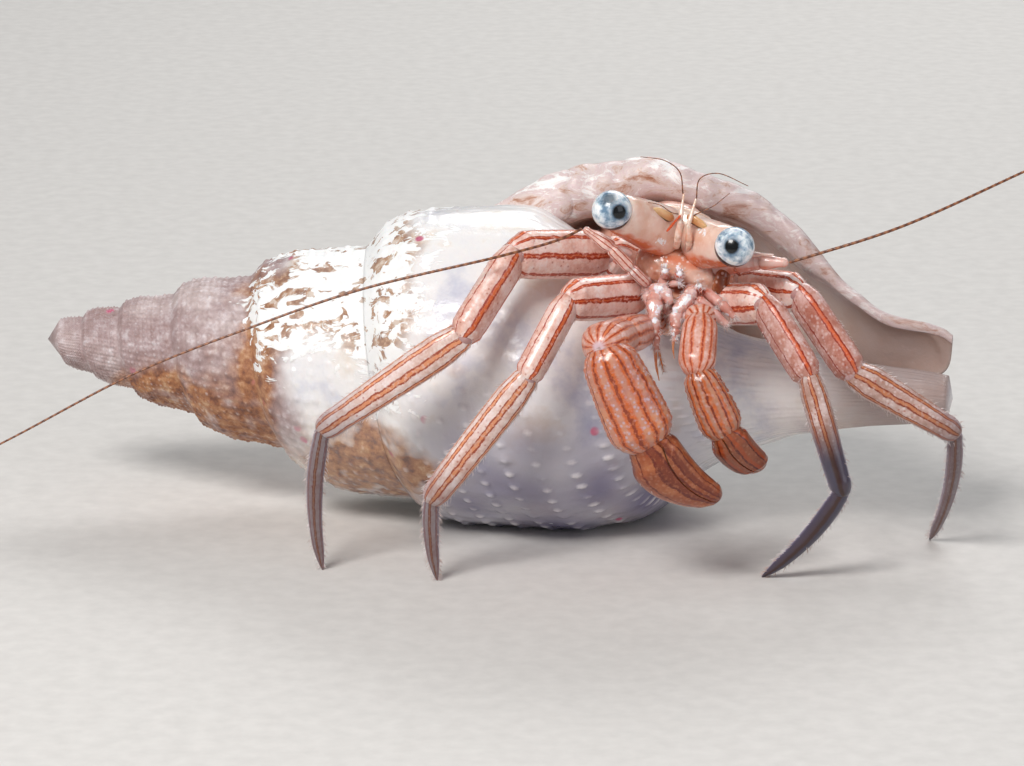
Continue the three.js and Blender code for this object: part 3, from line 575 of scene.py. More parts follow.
# painted shade: the lip's rim is darkened towards grey mauve in the same way
dim_film = add(tree, "Mix", dim, film, "9C8686")
rimmed = add(tree, "Mix", kept["rim"], lined, dim_film)
plug(shader.inputs["Base Color"], rimmed)
rough = add(tree, "MapRange", kept["spire"], 0.0, 1.0, 0.24, 0.55)
for dull in (crusted, kept["rim"]):
    duller = add(tree, "Math", dull, 0.55, operation="MULTIPLY")
    rough = add(tree, "Math", rough, duller, operation="MAXIMUM")
plug(shader.inputs["Roughness"], rough)
pits = add(tree, "Math", crusted, 1.2, grit, operation="MULTIPLY_ADD")
wrinkled = add(tree, "Math", growth, kept["rim"], pits, operation="MULTIPLY_ADD")
bump = add(tree, "Bump", Strength=0.35, Distance=0.00014, Height=wrinkled)
plug(shader.inputs["Normal"], bump)
make_piece("shell_spire", np.concatenate([flat, fan_points, apex_points]), spire_faces, shell_finish,
           (), padded_values)

# last whorl: outside, floor and roof of the cavity, edge of the lip and end of the canal
WHORL_STEPS = 350
NEAR_COLUMNS = 64       # from the suture to the inner side's start
FAR_COLUMNS = 126       # from there to the canal's end
CAVITY_ROWS = 90
EDGE_ROWS = 25
NOTCH_DEPTH = 1.3
LIP_ROUND = 0.34        # how far the lip's edge bulges forward, as a share of its thickness
RIM_TURNS = 0.09        # the thick rim thins to the wall over this
RIM_WIDTH = [[0, 2.9], [0.12, 2.9], [0.24, 2.1], [0.42, 1.9], [0.55, 1.7], [0.73, 0.8], [0.95, 0.5],
             [1, 0.45]]
share_near = np.linspace(0, 1, NEAR_COLUMNS + 1)
share_far = np.linspace(0, 1, FAR_COLUMNS + 1)


def lip_line(D):
    """Turns by which the worn lip stands back from a straight edge, at D."""
    line = np.stack([D, D * 0, D * 0], axis=-1)
    return 0.006 * (1 + noise(line, 2.6, 21)) + 0.003 * noise(line, 0.8, 22)


def last_q(turns, D):
    """Turns behind the lip, with the first tenth of a turn squeezed behind the lip's own line."""
    return turns + lip_line(D) * ease(1 - turns / 0.1)


def cavity_end(t):
    past = np.maximum(0, t - OPEN_TURN)
    return CANAL_END - 3 * np.minimum(1, past / 0.1) - 22 * past


def canal_notch(t):
    """How far the wall's end stands back: most at the turn where the canal closes."""
    return NOTCH_DEPTH * np.exp(-((t - OPEN_TURN) / 0.05) ** 2)


turns = np.linspace(0, 1, WHORL_STEPS + 1)[:, None]
near = mix(suture(turns), SPLIT_AT, share_near[None, :-1])
far = mix(SPLIT_AT, CANAL_END - canal_notch(turns), share_far[None, :])
D = np.concatenate([near, far], axis=1)
q = last_q(turns + 0 * D, D)
way = np.log(D / suture(q)) / math.log(TURN)
outside, outside_values = raised(q, D, way)

# inside: a floor round the axis and a roof under the wall, which meet at the suture and, where
# the canal is closed, at its end too
back = np.linspace(0, CAVITY_TURNS, CAVITY_ROWS + 1)[:, None]
start_D = suture(back) + (SPLIT_AT - SUTURE) * TURN ** (-back)
D_in = mix(start_D, cavity_end(back), share_far[None, :])
q_in = last_q(back + 0 * D_in, D_in)
floor_r = floor_radius(1 + back + 0 * D_in, D_in)
blend = ease(back / 0.03)
floor_r = mix(outer_radius(np.ones_like(D_in), D_in), floor_r, blend)
floor_points = shell_point(1 + back + 0 * D_in, D_in, floor_r)
floor_points[0] = outside[-1, NEAR_COLUMNS:]
open_end = np.clip(1 - back / OPEN_TURN, 0, 1)
height = dome(share_far / 0.1) * np.maximum(dome((1 - share_far) / 0.07), open_end)
wall = mix(smooth_table(RIM_WIDTH, share_far)[None, :], WALL, ease(back / RIM_TURNS))
roof_r = floor_r + np.maximum(outer_radius(q_in, D_in) - wall - floor_r, 0.25) * height
ridge = 0.35 * np.exp(-((share_far - 0.62) / 0.035) ** 2)[None, :] * ease(1 - back / 0.1)
D_roof = D_in - canal_notch(back) * ease((share_far - 0.6) / 0.4)[None, :]
roof_points = shell_point(q_in, D_roof, roof_r - ridge * height)
roof_points[:, 0] = floor_points[:, 0]
closed = back[:, 0] >= OPEN_TURN
roof_points[closed, -1] = floor_points[closed, -1]

# edge of the lip: across from the outside to the roof, bulging forward, with a rough crust
cross = np.linspace(0, 1, EDGE_ROWS)[:, None]
inner_edge = np.concatenate([np.repeat(roof_points[:1, 0], NEAR_COLUMNS, axis=0), roof_points[0]])
thickness = np.linalg.norm(outside[0] - inner_edge, axis=-1)
forward = unit(outside[0] - outside[6])
edge_points = mix(outside[0], inner_edge, cross[..., None])
rough = 0.11 * noise(edge_points, 1.1, 23) + 0.05 * noise(edge_points, 0.4, 24)
bulge = np.sin(math.pi * cross) ** 0.75 * (LIP_ROUND * thickness + rough * np.clip(thickness - 0.4, 0, 1))
edge_points = edge_points + bulge[..., None] * forward

# end of the canal: the columella's end, and the wall's thickness beside the notch
n_open = int((back[:, 0] < OPEN_TURN).sum())
steps_open = int((turns[:, 0] < OPEN_TURN).sum())
rim = np.concatenate([outside[steps_open:, -1], floor_points[1:n_open + 1, -1]])
notch_turns = np.linspace(0, OPEN_TURN, n_open + 1)
open_turns, end_line = turns[:steps_open + 1, 0], outside[:steps_open + 1, -1]
outer_notch = np.stack([np.interp(notch_turns, open_turns, end_line[:, i]) for i in range(3)], axis=-1)

# all of it as one closed skin: each patch with the numbers kept there, then two fans
rim_roof = ease(1 - back / 0.035) * ease((0.8 - share_far) / 0.2)
# the roof darkens towards the canal, and the lip's edge towards its lower end: painted shade
patches = [(outside, outside_values), (floor_points, {"inner": 1}),
           (roof_points, {"inner": 1 - rim_roof, "rim": rim_roof, "painted_shade_and_grime": ease((share_far - 0.5) / 0.35)}),
           (edge_points, {"rim": 1, "painted_shade_and_grime": 0.5 * ease((np.concatenate([near[0], far[0]]) - 36) / 6)}),
           (np.stack([outer_notch, roof_points[:n_open + 1, -1]]), {}),
           (np.stack([floor_points[-1], roof_points[-1]]), {"inner": 1})]
points, faces, values = [], [], {k: [] for k in outside_values}
count = 0
for patch, kept_values in patches:
    rows, columns = patch.shape[:2]
    points.append(patch.reshape(-1, 3))
    faces.append(grid_faces(rows, columns, count))
    for key, row in values.items():
        row.append(np.broadcast_to(kept_values.get(key, 0.0), (rows, columns)).ravel())
    count += rows * columns
rings = [(rim, axis_start + (CANAL_END + 0.3) * axis_x),
         (np.concatenate([outside[:, 0], outside[-1, 1:NEAR_COLUMNS + 1], edge_points[-2:0:-1, 0]]),
          inside_hub)]
for ring, centre in rings:
    new_points, new_faces = fan(ring, centre, count)
    points.append(new_points)
    faces.append(new_faces)
    for row in values.values():
        row.append(np.zeros(len(new_points)))
    count += len(new_points)
make_piece("shell_last_whorl", np.concatenate(points), np.concatenate(faces), shell_finish,
           ("shell",), {k: np.concatenate(v) for k, v in values.items()})

# callus: the rounded fold in which the lip runs out over the whorl before it
D = np.linspace(CALLUS[0][0], CALLUS[-1][0], 80)
r, half_width = [smooth_table([[row[0], row[i]] for row in CALLUS], D) for i in (1, 2)]
half_width = half_width * dome((CALLUS[-1][0] + 0.05 - D) / 1.2)
outward = unit(shell_point(0 * D, D, r + 1) - shell_point(0 * D, D, r))
rings = tube_points(shell_point(0 * D, D, r), outward, np.cross(axis_x, outward), half_width,
                    0.6 * half_width, 72)
lumps = (0.07 * noise(rings, 1.0, 25) + 0.03 * noise(rings, 0.4, 26))[..., None]
outward = unit(rings - rings.mean(axis=1, keepdims=True))
rings = rings + outward * lumps * np.clip(half_width, 0, 1)[:, None, None]
tube_piece("shell_callus", rings, shell_finish, (), {"rim": 1.0})


# ---------------------------------------------------------------------------- walking legs
# Four slender legs, each of five hollow lengths of chitin that turn on each other at soft white
# joints.  The cuticle is thin and clear: salmon pink with lengthwise orange bands edged dark red,
# and it fades to lilac grey towards the pointed foot.
def stripes(lines, tone, soft):
    """Stops of a ramp from rows of (start, end): tone inside them, clear outside, soft edges."""
    stops = []
    for start, end in lines:
        stops += [(start - soft, tone + "00")] if start > 0 else []
        stops += [(start, tone + "FF"), (end, tone + "FF")]
        stops += [(end + soft, tone + "00")] if end < 1 else []
    return stops


def striped_cuticle(name, bands, lines, pale, dots, band_tone="DB6F3D", line_tone="A6381B",
                    dot_tone="F3E6E6", joint="DCC6D0", clear=0.3):
    """Cuticle with lengthwise bands and thin dark lines, each a row of (start, end) from the
    limb's upper edge, 0, to its lower edge, 1, and the same on both faces.  pale holds the
    ground's tones, dots says how strong its granules show, and clear how far light enters."""
    material, tree, shader = new_material(name, {
        "IOR": 1.5, "Roughness": 0.3, "Subsurface Weight": clear, "Subsurface Scale": 0.0006,
        "Subsurface Radius": (1.0, 0.5, 0.35), "Coat Weight": 0.3, "Coat Roughness": 0.15})
    place = add(tree, "TexCoord").outputs["Object"]
    parts = add(tree, "SeparateXYZ", add(tree, "UVMap", uv_map="Skin"))
    wobble = add(tree, "TexNoise", place, Scale=1500.0, Detail=4.0, Roughness=0.7)
    shift = add(tree, "MapRange", wobble, 0.3, 0.7, -0.02, 0.02)
    u = add(tree, "Math", parts.outputs[0], 2.0, operation="MULTIPLY")
    face = add(tree, "Math", u, 1.0, operation="PINGPONG")
    moved = add(tree, "Math", face, shift, operation="ADD")
    band = add(tree, "ValToRGB", moved, stops=stripes(bands, band_tone, 0.025))
    line = add(tree, "ValToRGB", moved, stops=stripes(lines, line_tone, 0.008))
    cloud = add(tree, "TexNoise", place, Scale=700.0, Detail=4.0)
    fine = add(tree, "TexNoise", place, Scale=3600.0, Detail=4.0, Roughness=0.7)
    clouded = add(tree, "Math", fine, 0.6, cloud, operation="MULTIPLY_ADD")
    settled = add(tree, "Math", clouded, -0.3, operation="ADD")
    flesh = add(tree, "ValToRGB", settled, stops=pale)
    # pale granules 0.25 mm apart, and sparse dark red specks, 0.1 mm wide
    granule = add(tree, "TexVoronoi", place, Scale=4000.0)
    glow = add(tree, "MapRange", granule.outputs["Distance"], 0.42, 0.2, 0.0, dots)
    dotted = add(tree, "Mix", glow, flesh, dot_tone)
    cells = add(tree, "TexVoronoi", place, Scale=2500.0)
    fleck = add(tree, "MapRange", cells.outputs["Distance"], 0.2, 0.09, 0.0, 0.55)
    flecked = add(tree, "Mix", fleck, dotted, "A8401F")
    grain = add(tree, "TexNoise", place, Scale=5200.0, Detail=2.0)
    broken = add(tree, "MapRange", grain, 0.34, 0.5, 0.45, 1.0)
    ink = add(tree, "Math", band.outputs[1], broken, operation="MULTIPLY")
    banded = add(tree, "Mix", ink, flecked, band.outputs[0])
    dark = add(tree, "Math", line.outputs[1], broken, operation="MULTIPLY")
    lined = add(tree, "Mix", dark, banded, line.outputs[0])
    # lilac white at both ends: the thin cuticle over the joint, and partly a painted glint there
    near = add(tree, "Math", parts.outputs[1], 0.5, operation="PINGPONG")
    ragged = add(tree, "Math", cloud, 0.12, near, operation="MULTIPLY_ADD")
    ends = add(tree, "MapRange", ragged, 0.14, 0.09, 0.0, 0.75)
    joint_pale_and_glint = add(tree, "Mix", ends, lined, joint)
    # towards the foot the colour goes: lilac grey with one brown stripe and pale edges
    fade = add(tree, "Attribute", attribute_name="fade").outputs["Fac"]
    foot = add(tree, "ValToRGB", moved, stops=[
        (0.05, "9488A0"), (0.18, "4C4658"), (0.42, "41323D"), (0.46, "3A1F1B"), (0.54, "3A1F1B"),
        (0.6, "403A4B"), (0.82, "4C4658"), (0.95, "9488A0")])
    tipped = add(tree, "Mix", fade, joint_pale_and_glint, foot)
    plug(shader.inputs["Base Color"], tipped)
    rise = add(tree, "Math", glow, 0.5, clouded, operation="MULTIPLY_ADD")
    bump = add(tree, "Bump", Strength=0.3, Distance=0.00006, Height=rise)
    plug(shader.inputs["Normal"], bump)
    return material


LEG_PALE = [(0.34, "CF9787"), (0.48, "E2B4A5"), (0.66, "F2D7CE")]
# the left legs' tones: a stronger orange than the right's, and darker as painted shade on that side
LEFT_SHADED_PALE = [(0.34, "B2705F"), (0.48, "C38C7E"), (0.66, "D9B5AE")]
THIGH_PALE = [(0.34, "DAA899"), (0.48, "ECC5B8"), (0.66, "F9E4DD")]
# shin tones; the left ones are darker as painted shade on that side
SHIN_TONES_LEFT_SHADED = [("right", [(0.34, "D0A99B"), (0.48, "E0C4BA"), (0.66, "EFDEDA")], "DE9468", "A04328"),
              ("left", [(0.34, "A98476"), (0.48, "BC9A8F"), (0.66, "D0B9B3")], "BE774D", "86341E")]
SHIN_BANDS = [(0, 0.05), (0.21, 0.28), (0.47, 0.54), (0.73, 0.8)]
SHIN_LINES = [(0.05, 0.065), (0.195, 0.215), (0.275, 0.295), (0.455, 0.475), (0.535, 0.555), (0.715, 0.735),
              (0.795, 0.815), (0.95, 0.97)]
LEG_BANDS = [(0, 0.06), (0.545, 0.64), (0.93, 1)]
LEG_LINES = [(0.055, 0.075), (0.24, 0.256), (0.53, 0.555), (0.63, 0.655), (0.915, 0.932)]


def mirrored(rows):
    """The same bands counted from the other edge."""
    return [(1 - end, 1 - start) for start, end in reversed(rows)]


leg_cuticle = {
    "right": striped_cuticle("right_leg_chitin", LEG_BANDS, LEG_LINES, LEG_PALE, 0.35),
    "left": striped_cuticle("shaded_left_leg_chitin", mirrored(LEG_BANDS), mirrored(LEG_LINES), LEFT_SHADED_PALE, 0.35,
                            "CF5F30", "942C14")}
thigh_cuticle = striped_cuticle(
    "upper_leg_chitin", [(0, 0.03), (0.17, 0.205), (0.44, 0.475), (0.7, 0.735), (0.96, 1)],
    [(0.03, 0.045), (0.16, 0.18), (0.2, 0.22), (0.43, 0.45), (0.47, 0.49), (0.695, 0.715), (0.73, 0.75)],
    THIGH_PALE, 0.35)
shin_cuticle = {side: striped_cuticle(f"fine_striped_{side}_leg_chitin", SHIN_BANDS, SHIN_LINES, pale,
                                      0.35, band, line)
                for side, pale, band, line in SHIN_TONES_LEFT_SHADED}
SEGMENT_ROWS = 64
SEGMENT_SIDES = 48
WIDTH_PLACES = (0, 0.2, 0.8, 1)     # shares of a limb's length where its four widths hold
BLUNT = 0.3             # how far the end widths are raised towards their neighbours
THINNEST = 0.02         # share of the width that is left at a closed end
HALF_SLIT = 0.03        # half the gap between closed fingers
FRONT = np.array([0, -1, 0])
limb_rings = {}         # kept for the bristles
soft_joints = {"leg": [], "claw": []}


def limb_ways(a, b, side):
    """Ways of a limb's length from a to b: along it, across it towards side, and through it."""
    axis = unit(np.array(b, float) - np.array(a, float))
    across = unit(np.array(side) - np.array(side) @ axis * axis)
    return axis, across, np.cross(axis, across)


def denser_ends(count):
    """Shares from 0 to 1 that lie closer at both ends: half of 1 - cos."""
    return 0.5 - 0.5 * np.cos(math.pi * np.linspace(0, 1, count))


def limb_rows(name, a, b, wide, deep, side, bow=(0, 0, 0), foot=False, sides=SEGMENT_SIDES,
              count=SEGMENT_ROWS, tuck=0.3, swell=0.06, lift=None, split=None):
    """Rings of one length of a limb from a to b: widths through four places, rounded ends that
    reach past the joints by tuck of the width, a collar before the far end, and a bow aside.
    lift gives the height of granules; split cuts a finger's inner side flat, at so far across
    the limb at its start and its end, on the side of its sign.  Returns each ring's share of
    the length too."""
    a, bow = np.array(a, float), np.array(bow, float)
    length = np.linalg.norm(np.array(b) - a)
    axis, across, through = limb_ways(a, b, side)
    t = denser_ends(count)
    lead, trail = tuck * wide[0], (0 if foot else tuck * wide[3])
    s = mix(-lead, length + trail, t)
    share = np.clip(s / length, 0, 1)
    blunt = 0 if foot else BLUNT
    half_wide, half_deep = [smooth_table(list(zip(WIDTH_PLACES, (
        mix(w[0], w[1], blunt), w[1], w[2], mix(w[3], w[2], blunt)))), share) / 2 for w in (wide, deep)]
    # a collar swells before the far end, the near end is drawn in, and a foot runs out to a point
    swollen, drawn_in = [np.exp(-((share - at) / size) ** 2) for at, size in ((0.93, 0.035), (0.06, 0.05))]
    collar = 1 + swell * (swollen - drawn_in)
    reach, power = (3.2 * wide[3], 1.3) if foot else (0.55 * wide[3], 2)
    cap = dome((s + lead) / (0.6 * wide[0])) * dome((length + trail - s) / reach, power)
    cap = np.maximum(cap * collar, THINNEST)
    centre = a + axis * s[:, None] + bow * (4 * share * (1 - share))[:, None]
    rings = tube_points(centre, across, through, half_wide * cap, half_deep * cap, sides)
    if lift is not None:
        height = lift(np.arange(sides) / sides, s[:, None]) * cap[:, None]
        rings = rings + unit(rings - centre[:, None]) * height[..., None]
    if split is not None:
        start, end, sign = split
        edge = (mix(start, end, share) + sign * HALF_SLIT)[:, None]
        aside = (rings - centre[:, None]) @ across
        rings = rings + (sign * np.maximum(sign * (edge - aside), 0))[..., None] * across
    rings[..., 2] = np.maximum(rings[..., 2], 0.0)
    # the bands start at the upper edge as one sees the limb from the front
    upper = np.cross(axis, FRONT)
    upper = upper * np.sign(upper @ across)
    turned = math.atan2(upper @ through, upper @ across) / (2 * math.pi)
    rings = np.roll(rings, -round(turned * sides), axis=1)
    limb_rings[name] = rings
    return rings, share


def keep_joint(slot, a, b, wide, side):
    """Notes the joint at a of the limb length from a to b, for its soft membrane."""
    soft_joints[slot].append((np.array(a), 0.4 * wide, *limb_ways(a, b, side)))


LEG_PARTS = ("hip", "merus", "carpus", "propodus", "dactylus")


def leg(name, joints, lengths, side, bow, grey=(0.6, 0.5, 0.78)):
    """One walking leg: five lengths between six joints, each with four widths and four depths;
    the last is bowed.  grey holds the share of the fourth's length where it turns grey, by how
    much, and how grey the fifth is to its tip."""
    body_side = name.split("_")[1]
    shin = shin_cuticle[body_side]
    materials = (thigh_cuticle, thigh_cuticle, leg_cuticle[body_side], shin, shin)
    for number, (part, (wide, deep), material) in enumerate(zip(LEG_PARTS, lengths, materials)):
        node = f"{name}_{part}"
        a, b = joints[number:number + 2]
        foot = part == "dactylus"
        rings, share = limb_rows(node, a, b, wide, deep, side, bow if foot else (0, 0, 0), foot)
        fade = {"propodus": grey[1] * ease((share - grey[0]) / 0.45), "dactylus": grey[2]}.get(part, 0)
        if number > 0:
            keep_joint("leg", a, b, min(wide[0], lengths[number - 1][0][3]), side)
        tube_piece(f"{node}_plate", rings, material, (node,), {"fade": fade})


leg("leg_right_outer",
    [(6.85, -3.3, 15.25), (5.1, -4.6, 16.2), (0.1, -8, 17.0), (-2.6, -10.5, 13.2), (-10.1, -10.5, 8.0),
     (-10.2, -10.0, 0)],
    [((1.9, 2.2, 2.3, 1.9), (1.7, 1.9, 1.9, 1.6)),
     ((2.2, 2.75, 2.7, 2.1), (1.4, 1.7, 1.7, 1.4)),
     ((1.9, 2.2, 2.2, 1.7), (1.4, 1.6, 1.6, 1.3)),
     ((1.6, 1.9, 1.55, 1.2), (1.2, 1.4, 1.2, 1.0)),
     ((0.9, 0.95, 0.65, 0.42), (0.85, 0.9, 0.6, 0.4))], (0.25, 0, 1), (-0.45, 0, 0))
leg("leg_right_inner",
    [(7.7, -4.7, 14.4), (6.9, -6.1, 14.3), (3.0, -9.6, 14.9), (0.8, -11.6, 11.2), (-4.3, -12.2, 4.6),
     (-4.0, -11.9, 0)],
    [((1.2, 1.5, 1.7, 1.5), (1.0, 1.3, 1.5, 1.3)),
     ((1.9, 2.5, 2.4, 1.8), (1.4, 1.7, 1.7, 1.4)),
     ((1.5, 1.7, 1.7, 1.4), (1.2, 1.5, 1.5, 1.2)),
     ((1.4, 1.75, 1.6, 1.1), (1.1, 1.4, 1.3, 1.0)),
     ((0.85, 0.9, 0.6, 0.4), (0.8, 0.85, 0.6, 0.4))], (0.25, 0, 1), (-0.15, 0, 0))
leg("leg_left_inner",
    [(10.25, -4.8, 14.0), (11.0, -6.2, 13.8), (13.4, -9.6, 14.7), (15.7, -11.8, 11.3), (17.5, -13, 5.3),
     (13.4, -11.3, 0)],
    [((1.2, 1.5, 1.7, 1.5), (1.0, 1.3, 1.5, 1.3)),
     ((1.8, 2.3, 2.3, 1.8), (1.4, 1.7, 1.7, 1.4)),
     ((1.7, 2.2, 2.1, 1.6), (1.3, 1.5, 1.5, 1.2)),
     ((1.5, 1.8, 1.55, 1.2), (1.2, 1.4, 1.25, 1.0)),
     ((1.0, 1.0, 0.65, 0.42), (0.9, 0.95, 0.6, 0.42))], (-0.25, 0, 1), (0.3, 0, -0.2), (0.3, 1.0, 1.0))
leg("leg_left_outer",
    [(11.5, -3.5, 14.6), (12.6, -4.6, 14.4), (15.4, -7.5, 14.8), (18.2, -9.5, 10.9), (23.7, -10, 7.7),
     (23.0, -4.4, 0)],
    [((1.5, 1.8, 1.9, 1.6), (1.4, 1.6, 1.7, 1.4)),
     ((1.8, 2.2, 2.2, 1.8), (1.4, 1.7, 1.7, 1.4)),
     ((1.7, 2.1, 2.1, 1.6), (1.3, 1.5, 1.5, 1.2)),
     ((1.5, 1.8, 1.45, 1.15), (1.2, 1.4, 1.2, 1.0)),
     ((0.85, 0.9, 0.6, 0.42), (0.8, 0.85, 0.55, 0.4))], (-0.25, 0, 1), (0.4, -0.3, 0))


# ---------------------------------------------------------------------------- claw limbs
# Two stout limbs that end in pincers, the right one the larger.  Their chitin is thicker and
# stronger orange: dark lengthwise lines, and between them rows of lilac-grey granules.
claw_cuticle = striped_cuticle(
    "granular_claw_chitin", [(0, 0.07), (0.19, 0.25), (0.35, 0.41), (0.5, 0.56), (0.66, 0.72), (0.9, 1)],
    [(0.07, 0.08), (0.215, 0.235), (0.37, 0.39), (0.52, 0.542), (0.68, 0.702), (0.84, 0.855)],
    [(0.3, "B8796A"), (0.5, "C78A72"), (0.7, "D08A60")], 0.7, "C8612A", "8A300F", "C3B2C0", clear=0.2)
small_claw_cuticle = striped_cuticle(
    "small_claw_chitin",
    [(0, 0.08), (0.16, 0.22), (0.31, 0.37), (0.45, 0.51), (0.59, 0.65), (0.74, 0.8), (0.92, 1)],
    [(0.08, 0.095), (0.2, 0.222), (0.35, 0.37), (0.49, 0.51), (0.63, 0.65), (0.78, 0.8), (0.905, 0.92)],
    [(0.3, "A37462"), (0.7, "BC8468")], 0.3, "BE602D", "75260F", "C3B2C0", clear=0.2)
# pincer fingers: deep orange, with their tones darkened further as painted shade
pincer_cuticle = striped_cuticle(
    "shade_darkened_pincer_chitin", [(0, 0.06), (0.3, 0.38), (0.47, 0.58), (0.92, 1)],
    [(0.06, 0.075), (0.2, 0.22), (0.37, 0.392), (0.46, 0.48), (0.575, 0.595), (0.76, 0.78)],
    [(0.3, "8A3E19"), (0.5, "A2522A"), (0.7, "B86E43")], 0.25, "7E300E", "6A1B06", "CB9878", "B36C42", 0.25)
small_pincer_cuticle = striped_cuticle(
    "small_shade_darkened_pincer_chitin", [(0, 0.08), (0.2, 0.27), (0.44, 0.51), (0.7, 0.77), (0.92, 1)],
    [(0.08, 0.1), (0.26, 0.285), (0.5, 0.525), (0.76, 0.785), (0.9, 0.92)],
    [(0.3, "7F3B1E"), (0.7, "98502C")], 0.2, "A24416", "561206", "CB9878", "98502C", 0.2)
arm_cuticle = striped_cuticle(
    "upper_claw_chitin",
    [(0, 0.03), (0.14, 0.19), (0.3, 0.35), (0.46, 0.51), (0.62, 0.67), (0.78, 0.83), (0.96, 1)],
    [(0.03, 0.045), (0.155, 0.175), (0.315, 0.335), (0.475, 0.495), (0.635, 0.655), (0.795, 0.815)],
    [(0.34, "C48472"), (0.48, "D69E8D"), (0.66, "E6BDB2")], 0.3, "D4764A", "A2391B")
GRANULE_ROWS = 20
GRANULE_SPACING = 0.42
GRANULE_HEIGHT = 0.045
CLAW_SIDE = (1, 0, 0.15)    # the way in which a claw's width is given


def granules(around, along):
    """Low granules in lengthwise rows: a raised cosine round the limb times one along it."""
    row = around * GRANULE_ROWS
    shift = 0.5 * (np.round(row) % 2)
    across, length = [0.5 + 0.5 * np.cos(2 * math.pi * x) for x in (row, along / GRANULE_SPACING + shift)]
    return GRANULE_HEIGHT * (across * length) ** 1.5


def claw(name, joints, lengths, fingers, palm_cuticle, finger_cuticle):
    """One claw limb: hip to palm between joints, then two fingers that share the last length.
    fingers holds their widths and depths, a bow and how the gap between them runs."""
    for number, (part, (wide, deep)) in enumerate(zip(("hip", "merus", "carpus", "palm"), lengths)):
        node = f"{name}_{part}"
        a, b = joints[number:number + 2]
        palm = part == "palm"
        fine = {"sides": 120, "count": 150, "swell": 0.0} if number > 1 else {}
        rings, _ = limb_rows(node, a, b, wide, deep, CLAW_SIDE, tuck=0.12 if palm else 0.3,
                             lift=granules if palm else None, **fine)
        if number > 0:
            keep_joint("claw", a, b, 0.8 * min(wide[0], lengths[number - 1][0][3]), CLAW_SIDE)
        tube_piece(f"{node}_plate", rings, palm_cuticle if palm else arm_cuticle, (node,),
                   {"fade": 0})
    wide, deep, bow, start, end, sign = fingers
    for part, way in (("finger", sign), ("fixed_finger", -sign)):
        node = f"{name}_{part}"
        rings, _ = limb_rows(node, joints[-2], joints[-1], wide, deep, CLAW_SIDE, bow, sides=96,
                             count=110, split=(start, end, way))
        tube_piece(f"{node}_plate", rings, finger_cuticle, (node,), {"fade": 0})


claw("claw_right",
     [(8.35, -5.9, 13.2), (7.3, -8.2, 13.0), (5.7, -12.4, 13.6), (4.7, -15.3, 13.9), (7.2, -15.3, 8.4),
      (10.7, -13.5, 5.1)],
     [((1.2, 1.4, 1.6, 1.5), (1.0, 1.2, 1.3, 1.2)), ((1.5, 1.8, 2.2, 2.0), (1.4, 1.7, 2.1, 1.8)),
      ((2.0, 2.4, 2.6, 2.2), (1.8, 2.1, 2.3, 2.0)), ((2.1, 3.0, 3.5, 2.9), (1.9, 2.4, 2.6, 2.1))],
     ((3.1, 3.2, 2.2, 0.9), (2.1, 2.0, 1.4, 0.8), (-0.35, 0, -0.35), 0.85, 0.1, -1),
     claw_cuticle, pincer_cuticle)
claw("claw_left",
     [(9.4, -5.9, 13.4), (9.9, -7.9, 13.6), (10.0, -11, 14.2), (9.7, -13, 12.0), (11.3, -13.5, 8.5),
      (13.0, -12.0, 6.4)],
     [((1.0, 1.2, 1.3, 1.2), (0.9, 1.1, 1.2, 1.1)), ((1.1, 1.3, 1.6, 1.5), (1.1, 1.3, 1.6, 1.4)),
      ((1.4, 1.9, 2.0, 1.7), (1.3, 1.6, 1.7, 1.5)), ((1.5, 1.95, 2.3, 2.2), (1.3, 1.6, 1.8, 1.6))],
     ((2.1, 2.2, 2.0, 1.2), (1.4, 1.4, 1.1, 0.7), (-0.12, 0, -0.12), -0.1, -0.05, 1),
     small_claw_cuticle, small_pincer_cuticle)


# ---------------------------------------------------------------------------- head and body
# The hard shield over the head, and behind and below it the soft body: one thin pink skin from
# between the legs back over the thorax and round the shell's axis, without plates.
BODY_AT = np.array([9.2, -2.0, 15.9])
BODY_PITCH = math.radians(8)
BODY_ROLL = math.radians(17)
forward_way = np.array([0, -math.cos(BODY_PITCH), -math.sin(BODY_PITCH)])
right_way = np.array([-math.cos(BODY_ROLL), 0, math.sin(BODY_ROLL)])
right_way = unit(right_way - right_way @ forward_way * forward_way)
up_way = np.cross(right_way, forward_way)
BODY_LEVEL = 0.1        # level of the shield's edge over the middle of the head
BODY_ROWS = 130
BODY_SIDES = 96
# thorax and shield: how far forward, half the width there and the height
THORAX = [(3.0, 0.9, 1.6), (1.9, 1.3, 2.1), (0.3, 1.9, 2.3), (-1.6, 2.2, 2.2), (-3.1, 1.95, 1.7),
          (-4.3, 1.6, 1.3)]
TAIL_TURNS = (0.07, 0.12, 0.18, 0.25, 0.32, 0.38, 0.43)     # turns behind the lip
TAIL_FROM = 7.1         # how far behind the suture the tail's middle runs, at the lip
TAIL_WIDTH = 4.2        # half its width along the axis there
TAIL_GAP = 0.4          # between the tail and the shell
SHIELD = [(-2.6, 1.7, 1.15), (-1.6, 2.3, 1.75), (0, 2.4, 1.95), (1.8, 2.1, 1.8), (2.8, 1.7, 1.35),
          (3.3, 1.1, 0.8)]
SHIELD_ENDS = (-2.6, 3.35)


def body_point(f, r, u):
    """Point f forward, r to the crab's right and u up from the middle of the head."""
    forward, right, up = [np.multiply.outer(x, way) for x, way in
                          ((f, forward_way), (r, right_way), (u, up_way))]
    return BODY_AT + forward + right + up


